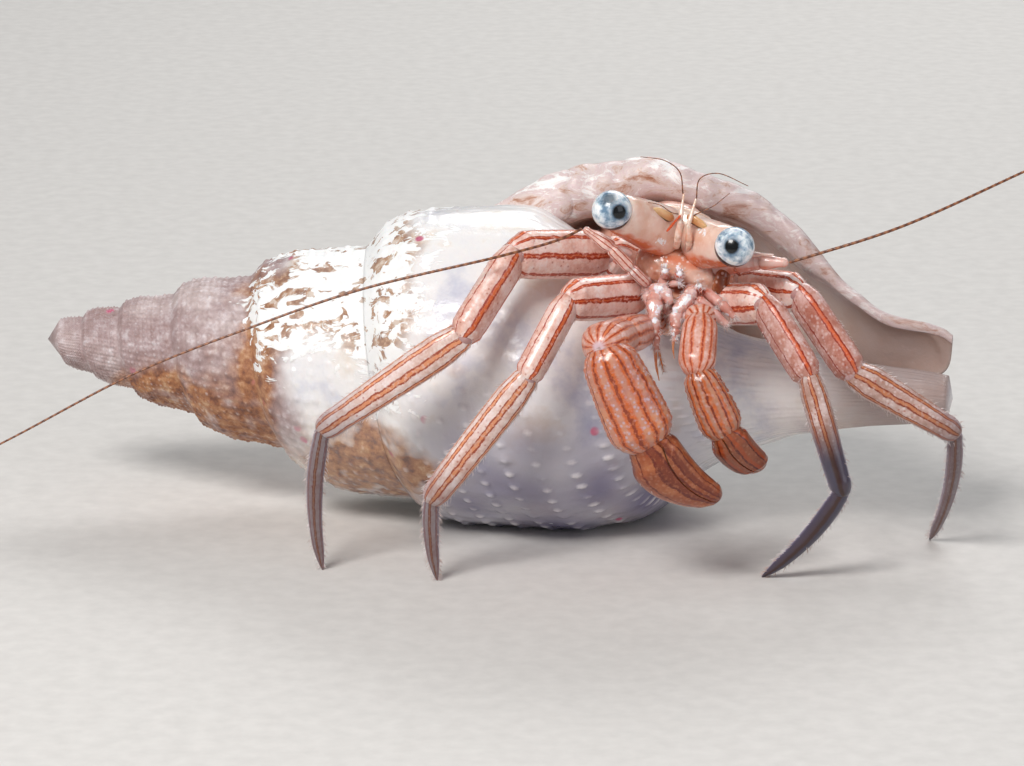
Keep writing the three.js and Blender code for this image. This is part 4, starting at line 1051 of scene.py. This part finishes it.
def smooth_path(points, count):
    """Points at even spacing on a centripetal Catmull-Rom curve: cubic pieces whose slopes weigh
    the neighbouring steps by the root of their length."""
    p = np.array(points, float)
    p = np.concatenate([[2 * p[0] - p[1]], p, [2 * p[-1] - p[-2]]])
    step = np.sqrt(np.linalg.norm(np.diff(p[:, :3], axis=0), axis=1))[:, None]
    before, after = step[:-1], step[1:]
    slope = (p[1:-1] - p[:-2]) / before - (p[2:] - p[:-2]) / (before + after) + (p[2:] - p[1:-1]) / after
    t = np.linspace(0, 1, 60)[None, :, None]
    a, b, h = p[1:-2, None], p[2:-1, None], step[1:-1, None]
    piece = (1 + 2 * t) * (1 - t) ** 2 * a + t * (1 - t) ** 2 * h * slope[:-1, None]
    piece = piece + t * t * (3 - 2 * t) * b + t * t * (t - 1) * h * slope[1:, None]
    line = piece.reshape(-1, p.shape[1])
    gone = np.concatenate([[0], np.cumsum(np.linalg.norm(np.diff(line[:, :3], axis=0), axis=1))])
    even = np.linspace(0, gone[-1], count)
    return np.stack([np.interp(even, gone, line[:, i]) for i in range(p.shape[1])], axis=-1)


def mottled_cuticle(name, tones, spot, spot_share, glint, tint_tone="D0602A"):
    """Smooth cuticle with cloudy colour, soft blotches of the tone spot and small painted glints, as
    strong as the two shares say.  The number tint kept at the points colours it, and the kept chalk
    number turns it into ragged white spots: partly chalky spots, partly painted glints."""
    material, tree, shader = new_material(name, {
        "IOR": 1.5, "Roughness": 0.26, "Subsurface Weight": 0.35, "Subsurface Scale": 0.0008,
        "Subsurface Radius": (1.0, 0.5, 0.35), "Coat Weight": 0.5, "Coat Roughness": 0.1})
    place = add(tree, "TexCoord").outputs["Object"]
    cloud = add(tree, "TexNoise", place, Scale=800.0, Detail=5.0)
    tone = add(tree, "ValToRGB", cloud, stops=tones)
    patch = add(tree, "TexNoise", place, Scale=1300.0, Detail=3.0)
    where = add(tree, "MapRange", patch, 0.56, 0.68, 0.0, spot_share)
    blotched = add(tree, "Mix", where, tone, spot)
    tint = add(tree, "Attribute", attribute_name="tint").outputs["Fac"]
    streak = add(tree, "Math", patch, 0.8, -0.4, operation="MULTIPLY_ADD")
    streaked = add(tree, "Math", streak, tint, operation="ADD")
    inked = add(tree, "MapRange", streaked, 0.25, 0.75, 0.0, 0.9)
    tinted = add(tree, "Mix", inked, blotched, tint_tone)
    cells = add(tree, "TexVoronoi", place, Scale=3000.0)
    dot = add(tree, "MapRange", cells.outputs["Distance"], 0.3, 0.15, 0.0, glint)
    dotted = add(tree, "Mix", dot, tinted, "F7E9E4")
    # white spots: partly chalk, partly painted glints
    chalk_and_glint = add(tree, "Attribute", attribute_name="chalk_and_glint").outputs["Fac"]
    crumb = add(tree, "TexNoise", place, Scale=3300.0, Detail=4.0, Roughness=0.65)
    ragged = add(tree, "Math", crumb, 2.6, -1.3, operation="MULTIPLY_ADD")
    edge = add(tree, "Math", chalk_and_glint, ragged, operation="ADD")
    white = add(tree, "MapRange", edge, 0.64, 0.76)
    present = add(tree, "MapRange", chalk_and_glint, 0.12, 0.3)
    white_chalk_and_glint = add(tree, "Math", white, present, operation="MULTIPLY")
    chalk_and_glint_whitened = add(tree, "Mix", white_chalk_and_glint, dotted, "F7F3F8")
    plug(shader.inputs["Base Color"], chalk_and_glint_whitened)
    bump = add(tree, "Bump", Strength=0.3, Distance=0.00008, Height=patch)
    plug(shader.inputs["Normal"], bump)
    return material


soft_skin = mottled_cuticle("soft_body_skin", [(0.3, "D4957F"), (0.7, "E3B9AA")], "C4684A", 0.5, 0.3)
shield_cuticle = mottled_cuticle("head_shield_chitin", [(0.3, "CFA387"), (0.7, "E6CBB8")], "B9704A", 0.5, 0.3)
# each key of the body's path: the middle of a section, its half width and its half height
keys = []
for f, half_width, height in THORAX:
    top = 0.9 if f > -3 else 1.1
    keys.append(np.concatenate([body_point(f, 0, (top - height) / 2), half_width * right_way,
                                (top + height) / 2 * up_way]))
for t in TAIL_TURNS:
    size = TURN ** (-t)
    middle = np.array([suture(t) + TAIL_FROM * size])
    turn = np.array([t])
    low = floor_radius(1 + turn, middle)[0] + TAIL_GAP
    high = outer_radius(turn, middle)[0] - WALL - TAIL_GAP
    centre = shell_point(turn, middle, np.array([(low + high) / 2]))[0]
    outward = unit(centre - axis_start - (centre - axis_start) @ axis_x * axis_x)
    keys.append(np.concatenate([centre, -TAIL_WIDTH * size * axis_x, (high - low) / 2 * outward]))
path = smooth_path(keys, BODY_ROWS)
from_end = np.minimum(np.linspace(0, 1, BODY_ROWS), np.linspace(1, 0, BODY_ROWS))
closing = np.maximum(dome(from_end / 0.04), THINNEST)
wide, deep = path[:, 3:6], path[:, 6:9]
body_rings = tube_points(path[:, :3], unit(wide), unit(deep), np.linalg.norm(wide, axis=1) * closing,
                         np.linalg.norm(deep, axis=1) * closing, BODY_SIDES)
wrinkle = 0.05 * noise(body_rings, 0.9, 31) + 0.015 * noise(body_rings, 0.35, 32)
body_rings = body_rings + unit(body_rings - path[:, None, :3]) * wrinkle[..., None]
tube_piece("soft_body_skin", body_rings, soft_skin,
           ("thorax", "carapace_rear", "abdomen_front", "abdomen_middle", "abdomen_rear"))

# shield: a low dome, its lower half pressed flat, with the groove that arches over its middle
f = mix(*SHIELD_ENDS, denser_ends(90))
half_width, height = [smooth_table([[row[0], row[i]] for row in SHIELD], f) for i in (1, 2)]
closing = np.maximum(dome(np.minimum(f - SHIELD_ENDS[0], SHIELD_ENDS[1] - f) / 0.5), 0.03)
shield_rings = tube_points(body_point(f, 0 * f, 0 * f + BODY_LEVEL), right_way, up_way,
                           half_width * closing, height * closing, BODY_SIDES)
local_f, local_r, local_u = [(shield_rings - BODY_AT) @ way for way in (forward_way, right_way, up_way)]
groove = np.exp(-((local_f + 0.9 + 0.28 * local_r ** 2) / 0.16) ** 2)
lift = 0.8 * np.maximum(BODY_LEVEL - local_u, 0) - 0.12 * groove + 0.03 * noise(shield_rings, 0.5, 33)
tube_piece("shield_plate", shield_rings + lift[..., None] * up_way, shield_cuticle,
           ("carapace_shield",), {"tint": 0.5 * groove})


# ---------------------------------------------------------------------------- eyes
# Round eyes on thick movable stalks that meet over the middle of the head, each with an amber
# scale at its root.  The cornea is a clear glossy dome over a silvery layer, marbled white and
# pale blue, with a black spot where one looks straight in and a black rim below.
EYE_RADIUS = 1.07
RIM_FROM = -0.14      # cosine, from the way the cornea opens, below which its rim is black
# painted glints on the stalks, white spots that stand in for glossy highlights: place, size across in mm; and
# how deep the spots reach
STALK_GLINT_SPOTS = [(7.95, -7.9, 17.7, 0.42), (10.25, -8.1, 18.35, 0.42), (12.6, -9.0, 17.6, 0.3)]
STALK_GLINT_DEPTH = 1.2
stalk_cuticle = mottled_cuticle("eyestalk_chitin", [(0.3, "E3B29B"), (0.7, "F3D9CC")], "D07F52", 0.45, 0.2,
                                "D5642B")
# amber scales: their dark brown tint tone, laid underneath, is painted shade below their edge
scale_cuticle_shaded_below = mottled_cuticle("amber_scale_chitin_shaded_below", [(0.3, "C98F55"), (0.7, "E6BE90")], "B5763F", 0.4, 0.1,
                                "4E3826")
eye_finish, tree, shader = new_material("silvery_cornea", {
    "IOR": 1.38, "Roughness": 0.22, "Coat Weight": 0.35, "Coat Roughness": 0.08,
    "Subsurface Weight": 0.1, "Subsurface Scale": 0.0003})
place = add(tree, "TexCoord").outputs["Object"]
gaze, second, pole = [add(tree, "Attribute", attribute_name=key).outputs["Fac"]
                      for key in ("gaze", "second", "pole")]
marble = add(tree, "TexNoise", place, Scale=1700.0, Detail=7.0, Roughness=0.6, Distortion=0.25)
silver = add(tree, "ValToRGB", marble, stops=[
    (0.36, "6F8BA3"), (0.46, "B4C6D5"), (0.54, "E3EBF1"), (0.62, "FAFCFD")])
ragged = add(tree, "Math", marble, 0.16, gaze, operation="MULTIPLY_ADD")
halo = add(tree, "MapRange", ragged, 0.82, 0.48, 0.0, 0.85)
haloed = add(tree, "Mix", halo, silver, "56718A")
smudge_edge = add(tree, "Math", marble, 0.25, second, operation="MULTIPLY_ADD")
smudge = add(tree, "MapRange", smudge_edge, 0.66, 0.38, 0.0, 0.85)
smudged = add(tree, "Mix", smudge, haloed, "4B5A66")
pupil = add(tree, "MapRange", ragged, 0.54, 0.41)
seen = add(tree, "Mix", pupil, smudged, "0A0C0E")
rim_edge = add(tree, "Math", marble, 0.12, -0.06, operation="MULTIPLY_ADD")
rim_ragged = add(tree, "Math", rim_edge, pole, operation="ADD")
below = add(tree, "MapRange", rim_ragged, RIM_FROM + 0.03, RIM_FROM - 0.03)
eye_tone = add(tree, "Mix", below, seen, "0B0B0D")
plug(shader.inputs["Base Color"], eye_tone)


def under_side(rings, start, reach):
    """0 on top of a tube to 1 underneath: how far a point lies below the middle, in mm."""
    return ease((-((rings - rings.mean(axis=1)[:, None]) @ up_way) - start) / reach)


def chalk_and_glint_spots(points, spots, depth, flat=1.0):
    """Sum of the bells of the given spots, depth being how far each reaches back."""
    return sum(blob(points, spot[:3], (spot[3], depth, flat * spot[3])) for spot in spots)


def ball_points(centre, ways, sizes, rows, sides, power=2.0, pole=0.02):
    """Rings of an ellipsoid: sizes[0] * cos of the polar angle along its axis, and the two other
    sizes * sin of it across; pole is the angle at which the rings begin and end."""
    polar = np.linspace(pole, math.pi - pole, rows)
    axis, across, through = ways
    middle = centre + sizes[0] * np.cos(polar)[:, None] * axis
    return tube_points(middle, across, through, sizes[1] * np.sin(polar), sizes[2] * np.sin(polar),
                       sides, power)


def eye(name, root, centre, pupil_way, second_way, rim_way):
    """A stalk and a ball on it; the ball's points keep how far they are from the dark spots, in
    mm over the surface, and the cosine from the way the cornea opens."""
    root, centre = np.array(root), np.array(centre)
    axis = unit(centre - root)
    rings, _ = limb_rows(f"eyestalk_{name}", root, centre - 0.3 * EYE_RADIUS * axis,
                         (2.3, 2.75, 2.3, 1.95), (1.9, 2.2, 2.0, 1.85), (0, 0, 1), tuck=0.2, swell=0.02)
    tint = under_side(rings, 0.25, 0.75) * (0.8 + 0.5 * noise(rings * [1, 1, 3], 0.7, 41))
    chalk_and_glint = chalk_and_glint_spots(rings, STALK_GLINT_SPOTS, STALK_GLINT_DEPTH, 0.6)
    tube_piece(f"eyestalk_{name}_plate", rings, stalk_cuticle, (f"eyestalk_{name}",),
               {"tint": tint, "chalk_and_glint": chalk_and_glint})
    across = unit(np.cross(axis, [0, 1, 0]))
    ball = ball_points(centre, (axis, across, np.cross(axis, across)), 3 * (EYE_RADIUS,), 90, 128)
    ways = unit(ball - centre)
    gaze, second = [EYE_RADIUS * np.arccos(np.clip(ways @ unit(np.array(w)), -1, 1))
                    for w in (pupil_way, second_way)]
    tube_piece(f"eye_{name}_ball", ball, eye_finish, (f"eye_{name}",),
               {"gaze": gaze, "second": second, "pole": ways @ unit(np.array(rim_way))})


eye("right", (8.7, -5.9, 17.55), (5.3, -9.2, 19.7), (0.36, -0.94, 0.13), (-0.16, -0.66, 0.74),
    (-0.2, -0.65, 0.73))
eye("left", (9.7, -5.9, 17.2), (11.8, -9.6, 17.8), (-0.2, -0.96, 0.26), (0.0, 1.0, 0.0), (0.35, -0.65, 0.67))
# amber scales, painted dark brown underneath as shade below their edge
for name, a, b in (("right", (8.5, -7.7, 18.9), (7.4, -8.2, 19.6)),
                   ("left", (9.45, -7.8, 19.0), (10.45, -8.3, 18.5))):
    rings, _ = limb_rows(f"scale_{name}", a, b, (0.5, 0.62, 0.5, 0.15), (0.3, 0.34, 0.28, 0.12),
                         (0, -0.5, 1), foot=True, swell=0, sides=40, count=50)
    tube_piece(f"eye_scale_{name}", rings, scale_cuticle_shaded_below, (), {"tint": under_side(rings, 0.08, 0.12)})


# ---------------------------------------------------------------------------- feelers
# Two long whips of hundreds of short rings, brown with darker bands, on jointed stems below the
# eyes; and between the eyes two pairs of short fine feelers on slender upright stems.
BAND_LENGTH = 0.45
RING_LENGTH = 0.225
ROWS_PER_RING = 4
WHIP_SIDES = 12


def feeler(name, points, radius_a, radius_b, replaced):
    """A thin whip along a smooth path: each ring swells a little towards its far end; the
    distance along it in mm is kept for the bands."""
    rough = smooth_path(points, 50)
    length = np.linalg.norm(np.diff(rough, axis=0), axis=1).sum()
    count = int(length / RING_LENGTH) * ROWS_PER_RING + 1
    centre = smooth_path(points, count)
    along = np.linspace(0, length, count)
    axis = unit(np.gradient(centre, axis=0))
    across = unit(np.cross(axis, [0, 1, 0.2]))
    through = np.cross(axis, across)
    radius = mix(radius_a, radius_b, along / length) * (0.92 + 0.15 * np.mod(along / RING_LENGTH, 1))
    radius = radius * np.clip(np.minimum(along, length - along) / (1.5 * radius_b), 0.05, 1)
    rings = tube_points(centre, across, through, radius, radius, WHIP_SIDES, power=2)
    tube_piece(name, rings, whip_finish, replaced, {"along": along})


# brown chitin in short rings: satin, with a darker band every 0.45 mm
whip_finish, tree, shader = new_material("banded_feeler_chitin", {
    "IOR": 1.5, "Roughness": 0.35, "Coat Weight": 0.3})
along = add(tree, "Attribute", attribute_name="along").outputs["Fac"]
bands = add(tree, "Math", along, 1 / BAND_LENGTH, operation="MULTIPLY")
wave = add(tree, "Math", bands, 0.5, operation="PINGPONG")
whip_tone = add(tree, "ValToRGB", wave, stops=[
    (0.1, "9A6440"), (0.22, "83492A"), (0.36, "6A3A20"), (0.5, "532C1A")])
plug(shader.inputs["Base Color"], whip_tone)
whips = [
    ("antenna_right", 0.08, 0.05, ("inner", "middle", "outer"),
     [(3.75, -8.5, 18.55), (2.6, -9.0, 18.1), (-0.4, -10.2, 17.5), (-8.0, -10.5, 15.7),
      (-13.8, -10.7, 13.7), (-19.9, -11, 11.3), (-27.2, -11.5, 7.5), (-33.5, -11.6, 4.4)]),
    ("antenna_left", 0.085, 0.05, ("inner", "middle", "outer"),
     [(14.75, -8.8, 16.75), (20.6, -8.5, 18.6), (27.3, -7, 21.3), (34, -3.6, 23.6), (40, 1.5, 24.8),
      (44, 6.5, 24.6)]),
    ("antennule_right", 0.04, 0.02, ("flagellum",),
     [(9.12, -7.7, 20.2), (8.9, -7.8, 21.5), (8.1, -7.8, 22.1), (6.8, -7.8, 22.3)]),
    ("antennule_left", 0.04, 0.02, ("flagellum",),
     [(9.82, -7.7, 19.9), (10.0, -7.8, 21.1), (10.9, -7.8, 21.4), (12.6, -7.8, 20.7)]),
    ("antennule_right_lower", 0.035, 0.02, (),
     [(9.0, -8.0, 19.2), (8.5, -8.2, 19.35), (7.9, -8.2, 19.75), (7.2, -8.1, 19.9)]),
    ("antennule_left_lower", 0.035, 0.02, (),
     [(9.6, -8.0, 19.1), (10.1, -8.2, 19.4), (10.7, -8.2, 19.7), (11.6, -8.1, 20.4)])]
for name, radius_a, radius_b, parts, points in whips:
    feeler(f"{name}_whip", points, radius_a, radius_b, [f"{name}_{part}" for part in parts])


# white spots of the mouth limbs, partly chalky spots and partly painted glints: place and size in mm, and how
# far back they reach
CHALK_AND_GLINT_DEPTH = 1.6
CHALK_AND_GLINT_SPOTS = [(8.15, -8.2, 16.25, 0.3), (8.95, -8.2, 16.1, 0.3), (8.96, -8.3, 15.56, 0.2),
               (7.79, -8.9, 15.45, 0.36), (8.3, -9.3, 15.1, 0.18), (7.4, -9.3, 14.6, 0.24),
               (7.9, -9.5, 14.45, 0.24), (7.6, -10.1, 13.95, 0.24), (9.4, -9.0, 14.95, 0.26),
               (9.05, -9.2, 14.65, 0.24), (8.7, -9.4, 14.35, 0.22), (9.95, -8.8, 15.45, 0.24),
               (9.15, -9.7, 13.72, 0.26),
               (8.6, -9.95, 13.25, 0.25), (8.85, -9.9, 12.95, 0.18), (11.45, -8.9, 13.9, 0.2),
               (11.8, -8.9, 13.3, 0.18), (6.6, -8.3, 16.9, 0.3), (5.2, -8.65, 17.55, 0.3)]


def stem(name, points, widths, material, replaced=(), tint=0.0, flat=1.0):
    """A jointed stem: a length between each two points, with the widths at its ends, white where the
    listed mouth spots say (partly chalky spots, partly painted glints), and tinted underneath.
    flat is its depth as a share of its width."""
    for number in range(len(points) - 1):
        a, b = widths[number:number + 2]
        wide = np.array([0.8 * a, mix(a, b, 0.3) * 1.08, b, 0.9 * b])
        rings, _ = limb_rows(f"{name}_{number}", points[number], points[number + 1], wide, wide * flat,
                             (0, -0.4, 1), sides=40, count=50, swell=0.08)
        tube_piece(f"{name}_{number}", rings, material, replaced if number == 0 else (),
                   {"chalk_and_glint": chalk_and_glint_spots(rings, CHALK_AND_GLINT_SPOTS, CHALK_AND_GLINT_DEPTH),
                    "tint": tint * under_side(rings, 0.0, 0.25 * a)})


base_cuticle = mottled_cuticle("feeler_base_chitin", [(0.3, "DBA392"), (0.7, "E9CFCB")], "D2744A", 0.5, 0.35,
                               "D2602C")
brown_cuticle = mottled_cuticle("brown_mesh_chitin", [(0.4, "7A3F28"), (0.6, "B87652")], "5E2A18", 0.8, 0.5)
ridge_cuticle = mottled_cuticle("red_ridge_chitin", [(0.3, "B8401F"), (0.7, "D8602F")], "A8361A", 0.3, 0.0)
stem("antenna_right_stem", [(7.2, -7.6, 15.3), (6.35, -8.3, 16.3), (5.3, -8.65, 17.5), (3.9, -8.5, 18.5)],
     (0.5, 0.62, 0.68, 0.4), thigh_cuticle, ["antenna_right_base"], 0.6)
stem("antenna_left_stem", [(10.9, -6.7, 15.8), (12.0, -7.5, 16.4), (13.2, -8.2, 16.65), (14.6, -8.75, 16.75)],
     (0.9, 1.0, 0.85, 0.5), base_cuticle, ["antenna_left_base"], 0.6)
stem("antenna_left_foot", [(11.1, -7.3, 14.7), (11.35, -7.5, 15.9)], (0.8, 0.75), brown_cuticle)
stem("antenna_right_spine", [(6.3, -8.1, 17.1), (4.9, -8.9, 17.9)], (0.5, 0.12), base_cuticle)
stem("antenna_left_spine", [(12.1, -7.9, 17.0), (13.9, -8.9, 17.2)], (0.5, 0.12), base_cuticle)
stem("antennule_right_stem", [(8.8, -7.2, 17.2), (8.85, -8.1, 17.9), (8.95, -8.3, 18.9),
                              (9.15, -7.75, 20.25)],
     (0.3, 0.4, 0.3, 0.12), stalk_cuticle, ["antennule_right_base"], 0.3)
stem("antennule_left_stem", [(9.4, -7.2, 17.0), (9.45, -8.1, 17.7), (9.4, -8.3, 18.7), (9.8, -7.75, 20.0)],
     (0.3, 0.36, 0.28, 0.12), stalk_cuticle, ["antennule_left_base"], 0.3)
stem("antennule_ridge", [(8.25, -8.25, 18.35), (8.95, -8.5, 19.25)], (0.13, 0.12), ridge_cuticle)


# ---------------------------------------------------------------------------- mouth
# An ochre field below the eyes, and in front of it small overlapping mouth limbs: pink, with
# white spots that are partly chalky and partly painted glints; the third pair is longer, jointed,
# and hangs down with thin orange tips.
MOUTH_PAIRS = [("second", [(5.0, 1.1, -0.2), (6.2, 0.95, -0.5), (6.5, 0.5, -1.4)], (0.85, 0.8, 0.5)),
               ("first", [(5.0, 0.5, -0.9), (6.0, 0.45, -1.2), (6.2, 0.25, -2.0)], (0.7, 0.65, 0.4)),
               ("side", [(4.4, 1.9, -0.5), (5.6, 1.8, -0.9), (6.0, 1.4, -1.6)], (0.9, 0.85, 0.5))]
mouth_cuticle = mottled_cuticle("mouth_limb_chitin", [(0.3, "CB8676"), (0.5, "DDA79C"), (0.7, "EBCBC8")],
                                "BE4E22", 0.65, 0.75)
field_cuticle = mottled_cuticle("mouth_field_chitin", [(0.3, "CF8F74"), (0.5, "DFA78F"), (0.7, "EFC9B8")],
                                "B9602F", 0.6, 0.55)
tip_cuticle = mottled_cuticle("orange_tip_chitin", [(0.3, "CF6532"), (0.7, "E39A6E")], "B8401F", 0.5, 0.2)


def cushion(name, centre, half_sizes, replaced):
    """A rough ellipsoid of flesh, its poles to the sides: half_sizes aside, up and forward."""
    ball = ball_points(np.array(centre), (right_way, up_way, forward_way), half_sizes, 100, 120, 2.2)
    ball = ball + (0.10 * noise(ball, 0.7, 51) + 0.05 * noise(ball, 0.3, 52))[..., None] * forward_way
    level, aside = [(ball - BODY_AT) @ way for way in (up_way, right_way)]
    tint = 0.62 * ease(1 - np.abs(level - 1.25 + 0.05 * aside ** 2) / 0.42)
    tube_piece(name, ball, field_cuticle, replaced,
               {"tint": tint, "chalk_and_glint": chalk_and_glint_spots(ball, CHALK_AND_GLINT_SPOTS, CHALK_AND_GLINT_DEPTH)})


cushion("mouth_field", body_point(3.9, 0, 0.35), (2.75, 1.4, 1.75), ("mouthparts",))
cushion("mouth_floor", (8.6, -6.6, 13.7), (1.2, 1.5, 1.3), ())
for side_name, sign in (("right", 1), ("left", -1)):
    for pair, places, widths in MOUTH_PAIRS:
        points = [body_point(f, sign * r, u) for f, r, u in places]
        stem(f"mouth_{pair}_{side_name}", points, widths, mouth_cuticle, (), 0.4, 0.7)
for name, points, widths in [
        ("mouth_palp_right", [(8.2, -7.4, 15.7), (8.15, -8.2, 16.15)], (0.5, 0.45)),
        ("mouth_palp_left", [(8.9, -7.4, 15.6), (8.95, -8.2, 16.0)], (0.5, 0.45)),
        ("mouth_palp_middle", [(8.5, -7.7, 15.3), (8.95, -8.3, 15.5)], (0.4, 0.3)),
        ("mouth_dome_right", [(7.5, -8.2, 15.15), (8.1, -8.95, 15.3), (8.4, -9.25, 14.7)], (0.6, 0.7, 0.5)),
        ("mouth_glint_left", [(9.85, -8.1, 15.1), (10.0, -8.75, 15.45)], (0.42, 0.4)),
        ("mouth_fan_left", [(9.9, -8.6, 14.5), (9.2, -9.5, 13.85)], (0.8, 0.6)),
        ("mouth_fold_upper", [(10.3, -8.2, 15.05), (11.1, -8.6, 14.5), (11.9, -8.7, 13.75)],
         (0.5, 0.55, 0.4)),
        ("mouth_fold_lower", [(9.9, -8.7, 14.75), (10.6, -8.95, 14.15), (11.5, -8.9, 13.35)],
         (0.5, 0.55, 0.4)),
        ("maxilliped_right_limb", [(8.0, -7.3, 14.9), (7.6, -9.1, 14.7), (7.55, -9.9, 13.95),
                                   (7.62, -10.05, 13.1), (7.68, -10.0, 12.2)],
         (0.95, 0.95, 0.62, 0.55, 0.32)),
        ("maxilliped_right_tip", [(7.62, -10.0, 12.3), (7.68, -10.0, 11.4), (7.85, -9.9, 10.55)],
         (0.18, 0.15, 0.06)),
        ("maxilliped_right_branch", [(7.8, -9.9, 12.3), (7.95, -9.85, 11.6), (8.1, -9.8, 11.0)],
         (0.15, 0.11, 0.05)),
        ("maxilliped_left_limb", [(9.6, -7.6, 15.0), (9.5, -8.9, 14.95), (8.75, -9.4, 14.15),
                                  (8.7, -9.8, 13.4), (8.68, -9.9, 12.75)], (0.6, 0.75, 0.7, 0.6, 0.32)),
        ("maxilliped_left_tip", [(8.6, -9.9, 12.85), (8.58, -9.9, 12.3), (8.65, -9.8, 11.75)],
         (0.18, 0.12, 0.05))]:
    thin_tip = name.endswith(("tip", "branch"))
    replaced = [name.removesuffix("_limb")] if name.endswith("_limb") else ()
    stem(name, points, widths, tip_cuticle if thin_tip else mouth_cuticle, replaced, 0.35)


# ---------------------------------------------------------------------------- joint membranes
# Soft bulging skin in every joint of the legs and claws: lilac white, wet and half clear,
# showing in the gap between two lengths of hard cuticle.
membrane_skin = mottled_cuticle("joint_membrane", [(0.3, "B4847F"), (0.7, "CDA6A4")], "B86E5C", 0.6, 0.5)


def membranes(slot, joints):
    """One joined piece of balls, each a joint's place, half width and the ways of its limb."""
    parts, count = [], 0
    for place, half, *ways in joints:
        ball = ball_points(place, ways, (0.8 * half, half, half), 24, 28, pole=0.03)
        parts.append(tube_skin(ball, count))
        count += len(parts[-1][0])
    points, faces, uv = [np.concatenate(column) for column in zip(*parts)]
    make_piece(f"{slot}_joint_membranes", points, faces, membrane_skin, corner_uv=uv)


for slot in ("leg", "claw"):
    membranes(slot, soft_joints[slot])


# ---------------------------------------------------------------------------- bristles
# Short stiff bristles of clear chitin in fringes along the edges of the legs' last lengths, and
# sparse ones on the upper lengths and claws; each is a thin cone, bent towards the foot.

# by part of a limb: how many bristles, how long in mm, the share of the limb where they start
# and how far they spread round the limb from its edges, in turns
FRINGES = {"dactylus": (190, 0.3, 0.12, 0.04), "propodus": (130, 0.28, 0.12, 0.04),
           "carpus": (50, 0.2, 0.12, 0.04), "merus": (40, 0.2, 0.12, 0.04),
           "palm": (110, 0.16, 0.12, 0.04), "finger": (40, 0.16, 0.12, 0.04),
           "mouth": (34, 0.3, 0.72, 0.25), "maxilliped": (40, 0.24, 0.3, 0.12)}
BRISTLE_RADIUS = 0.016
BRISTLE_SIDES = 4
BRISTLE_TAPER = (1, 0.7, 0.15)      # radius at the root, the middle and the tip, as shares
ROOT_DEPTH = 0.03       # how deep a bristle's root stands in the cuticle
LENGTH_SPREAD = (0.6, 1.25)
BAKE_CELLS = 7          # the limbs' own skins lie side by side in rows of this many cells
BAKE_FILL = 0.9         # share of a cell that its limb takes up
BAKE_PATCH = 0.003      # size of one bristle's patch in the map


def bristles(slot, names):
    """One joined piece of cones, rooted on the named limbs' edges at seeded places: each has a
    root ring, a middle ring and a tip ring, moved outwards and then bent along the limb."""
    roots, ways, sizes, marks = [], [], [], []
    for number, name in enumerate(names):
        rings = limb_rings[name]
        rows, sides = rings.shape[:2]
        amount, length, first, spread = next(FRINGES[part] for part in FRINGES if part in name)
        row = rng.integers(int(rows * first), rows - rows // 10, amount)
        edge = rng.choice([0, sides // 2], amount)
        edge = edge + np.round(rng.normal(0, sides * spread, amount)).astype(int)
        edge = np.mod(edge, sides)
        root = rings[row, edge]
        middle = rings[row].mean(axis=1)
        axis = unit(rings[row + 2].mean(axis=1) - rings[row - 2].mean(axis=1))
        # outwards, along the limb towards its foot, and a little at random
        way = unit(0.75 * unit(root - middle) + 0.7 * axis + 0.18 * rng.normal(size=(amount, 3)))
        roots.append(root - ROOT_DEPTH * way)
        ways.append(np.stack([way, axis], axis=1))
        sizes.append(length * rng.uniform(*LENGTH_SPREAD, amount))
        cell = np.array([number % BAKE_CELLS, number // BAKE_CELLS]) / BAKE_CELLS
        marks.append(cell + np.stack([edge / sides, row / rows], axis=1) * BAKE_FILL / BAKE_CELLS)
    root, way, size, mark = [np.concatenate(part) for part in (roots, ways, sizes, marks)]
    out, onward = way[:, 0], way[:, 1]
    across = unit(np.cross(out, [0.3, 1, 0.1]))
    through = np.cross(out, across)
    bend = np.stack([0 * out, 0.5 * out, 0.95 * out + 0.18 * onward], axis=1)
    spine = root[:, None] + size[:, None, None] * bend
    angle = 2 * math.pi * np.arange(BRISTLE_SIDES) / BRISTLE_SIDES
    turn = across[:, None] * np.cos(angle)[:, None] + through[:, None] * np.sin(angle)[:, None]
    radius = BRISTLE_RADIUS * np.array(BRISTLE_TAPER)[:, None, None]
    points = spine[:, :, None] + radius * turn[:, None]
    points[..., 2] = np.maximum(points[..., 2], 0)
    k = np.arange(points[..., 0].size).reshape(points.shape[:3])
    n = np.roll(k, -1, axis=2)
    quads = np.stack([k[:, :-1], n[:, :-1], n[:, 1:], k[:, 1:]], axis=-1).reshape(-1, 4)
    faces = np.concatenate([quads, k[:, 0], k[:, -1]])
    offset = BAKE_PATCH * (np.stack([np.tile(np.arange(BRISTLE_SIDES), 3) / BRISTLE_SIDES,
                                     np.repeat([0, 0.5, 1], BRISTLE_SIDES)], axis=1) - 0.5)
    uv = (mark[:, None] + offset[None]).reshape(-1, 2)
    make_piece(f"{slot}_bristles", points.reshape(-1, 3), faces, bristle_chitin, corner_uv=uv[faces],
               uv_name="OFBake")


bristle_chitin, tree, shader = new_material("clear_bristle_chitin", {"Roughness": 0.3, "IOR": 1.5})
place = add(tree, "TexCoord").outputs["Object"]
shade = add(tree, "TexNoise", place, Scale=900.0)
bristle_tone = add(tree, "ValToRGB", shade, stops=[(0.35, "C4AAA0"), (0.6, "EFE6E6")])
plug(shader.inputs["Base Color"], bristle_tone)
bristles("leg", [f"leg_{which}_{part}" for which in ("right_outer", "right_inner", "left_inner", "left_outer")
                 for part in LEG_PARTS[:0:-1]])
bristles("claw", [f"claw_{side}_{part}" for side in ("right", "left")
                  for part in ("palm", "finger", "fixed_finger")])
bristles("head", [name for name in limb_rings
                  if name.startswith(("mouth", "maxilliped")) and "tip" not in name])
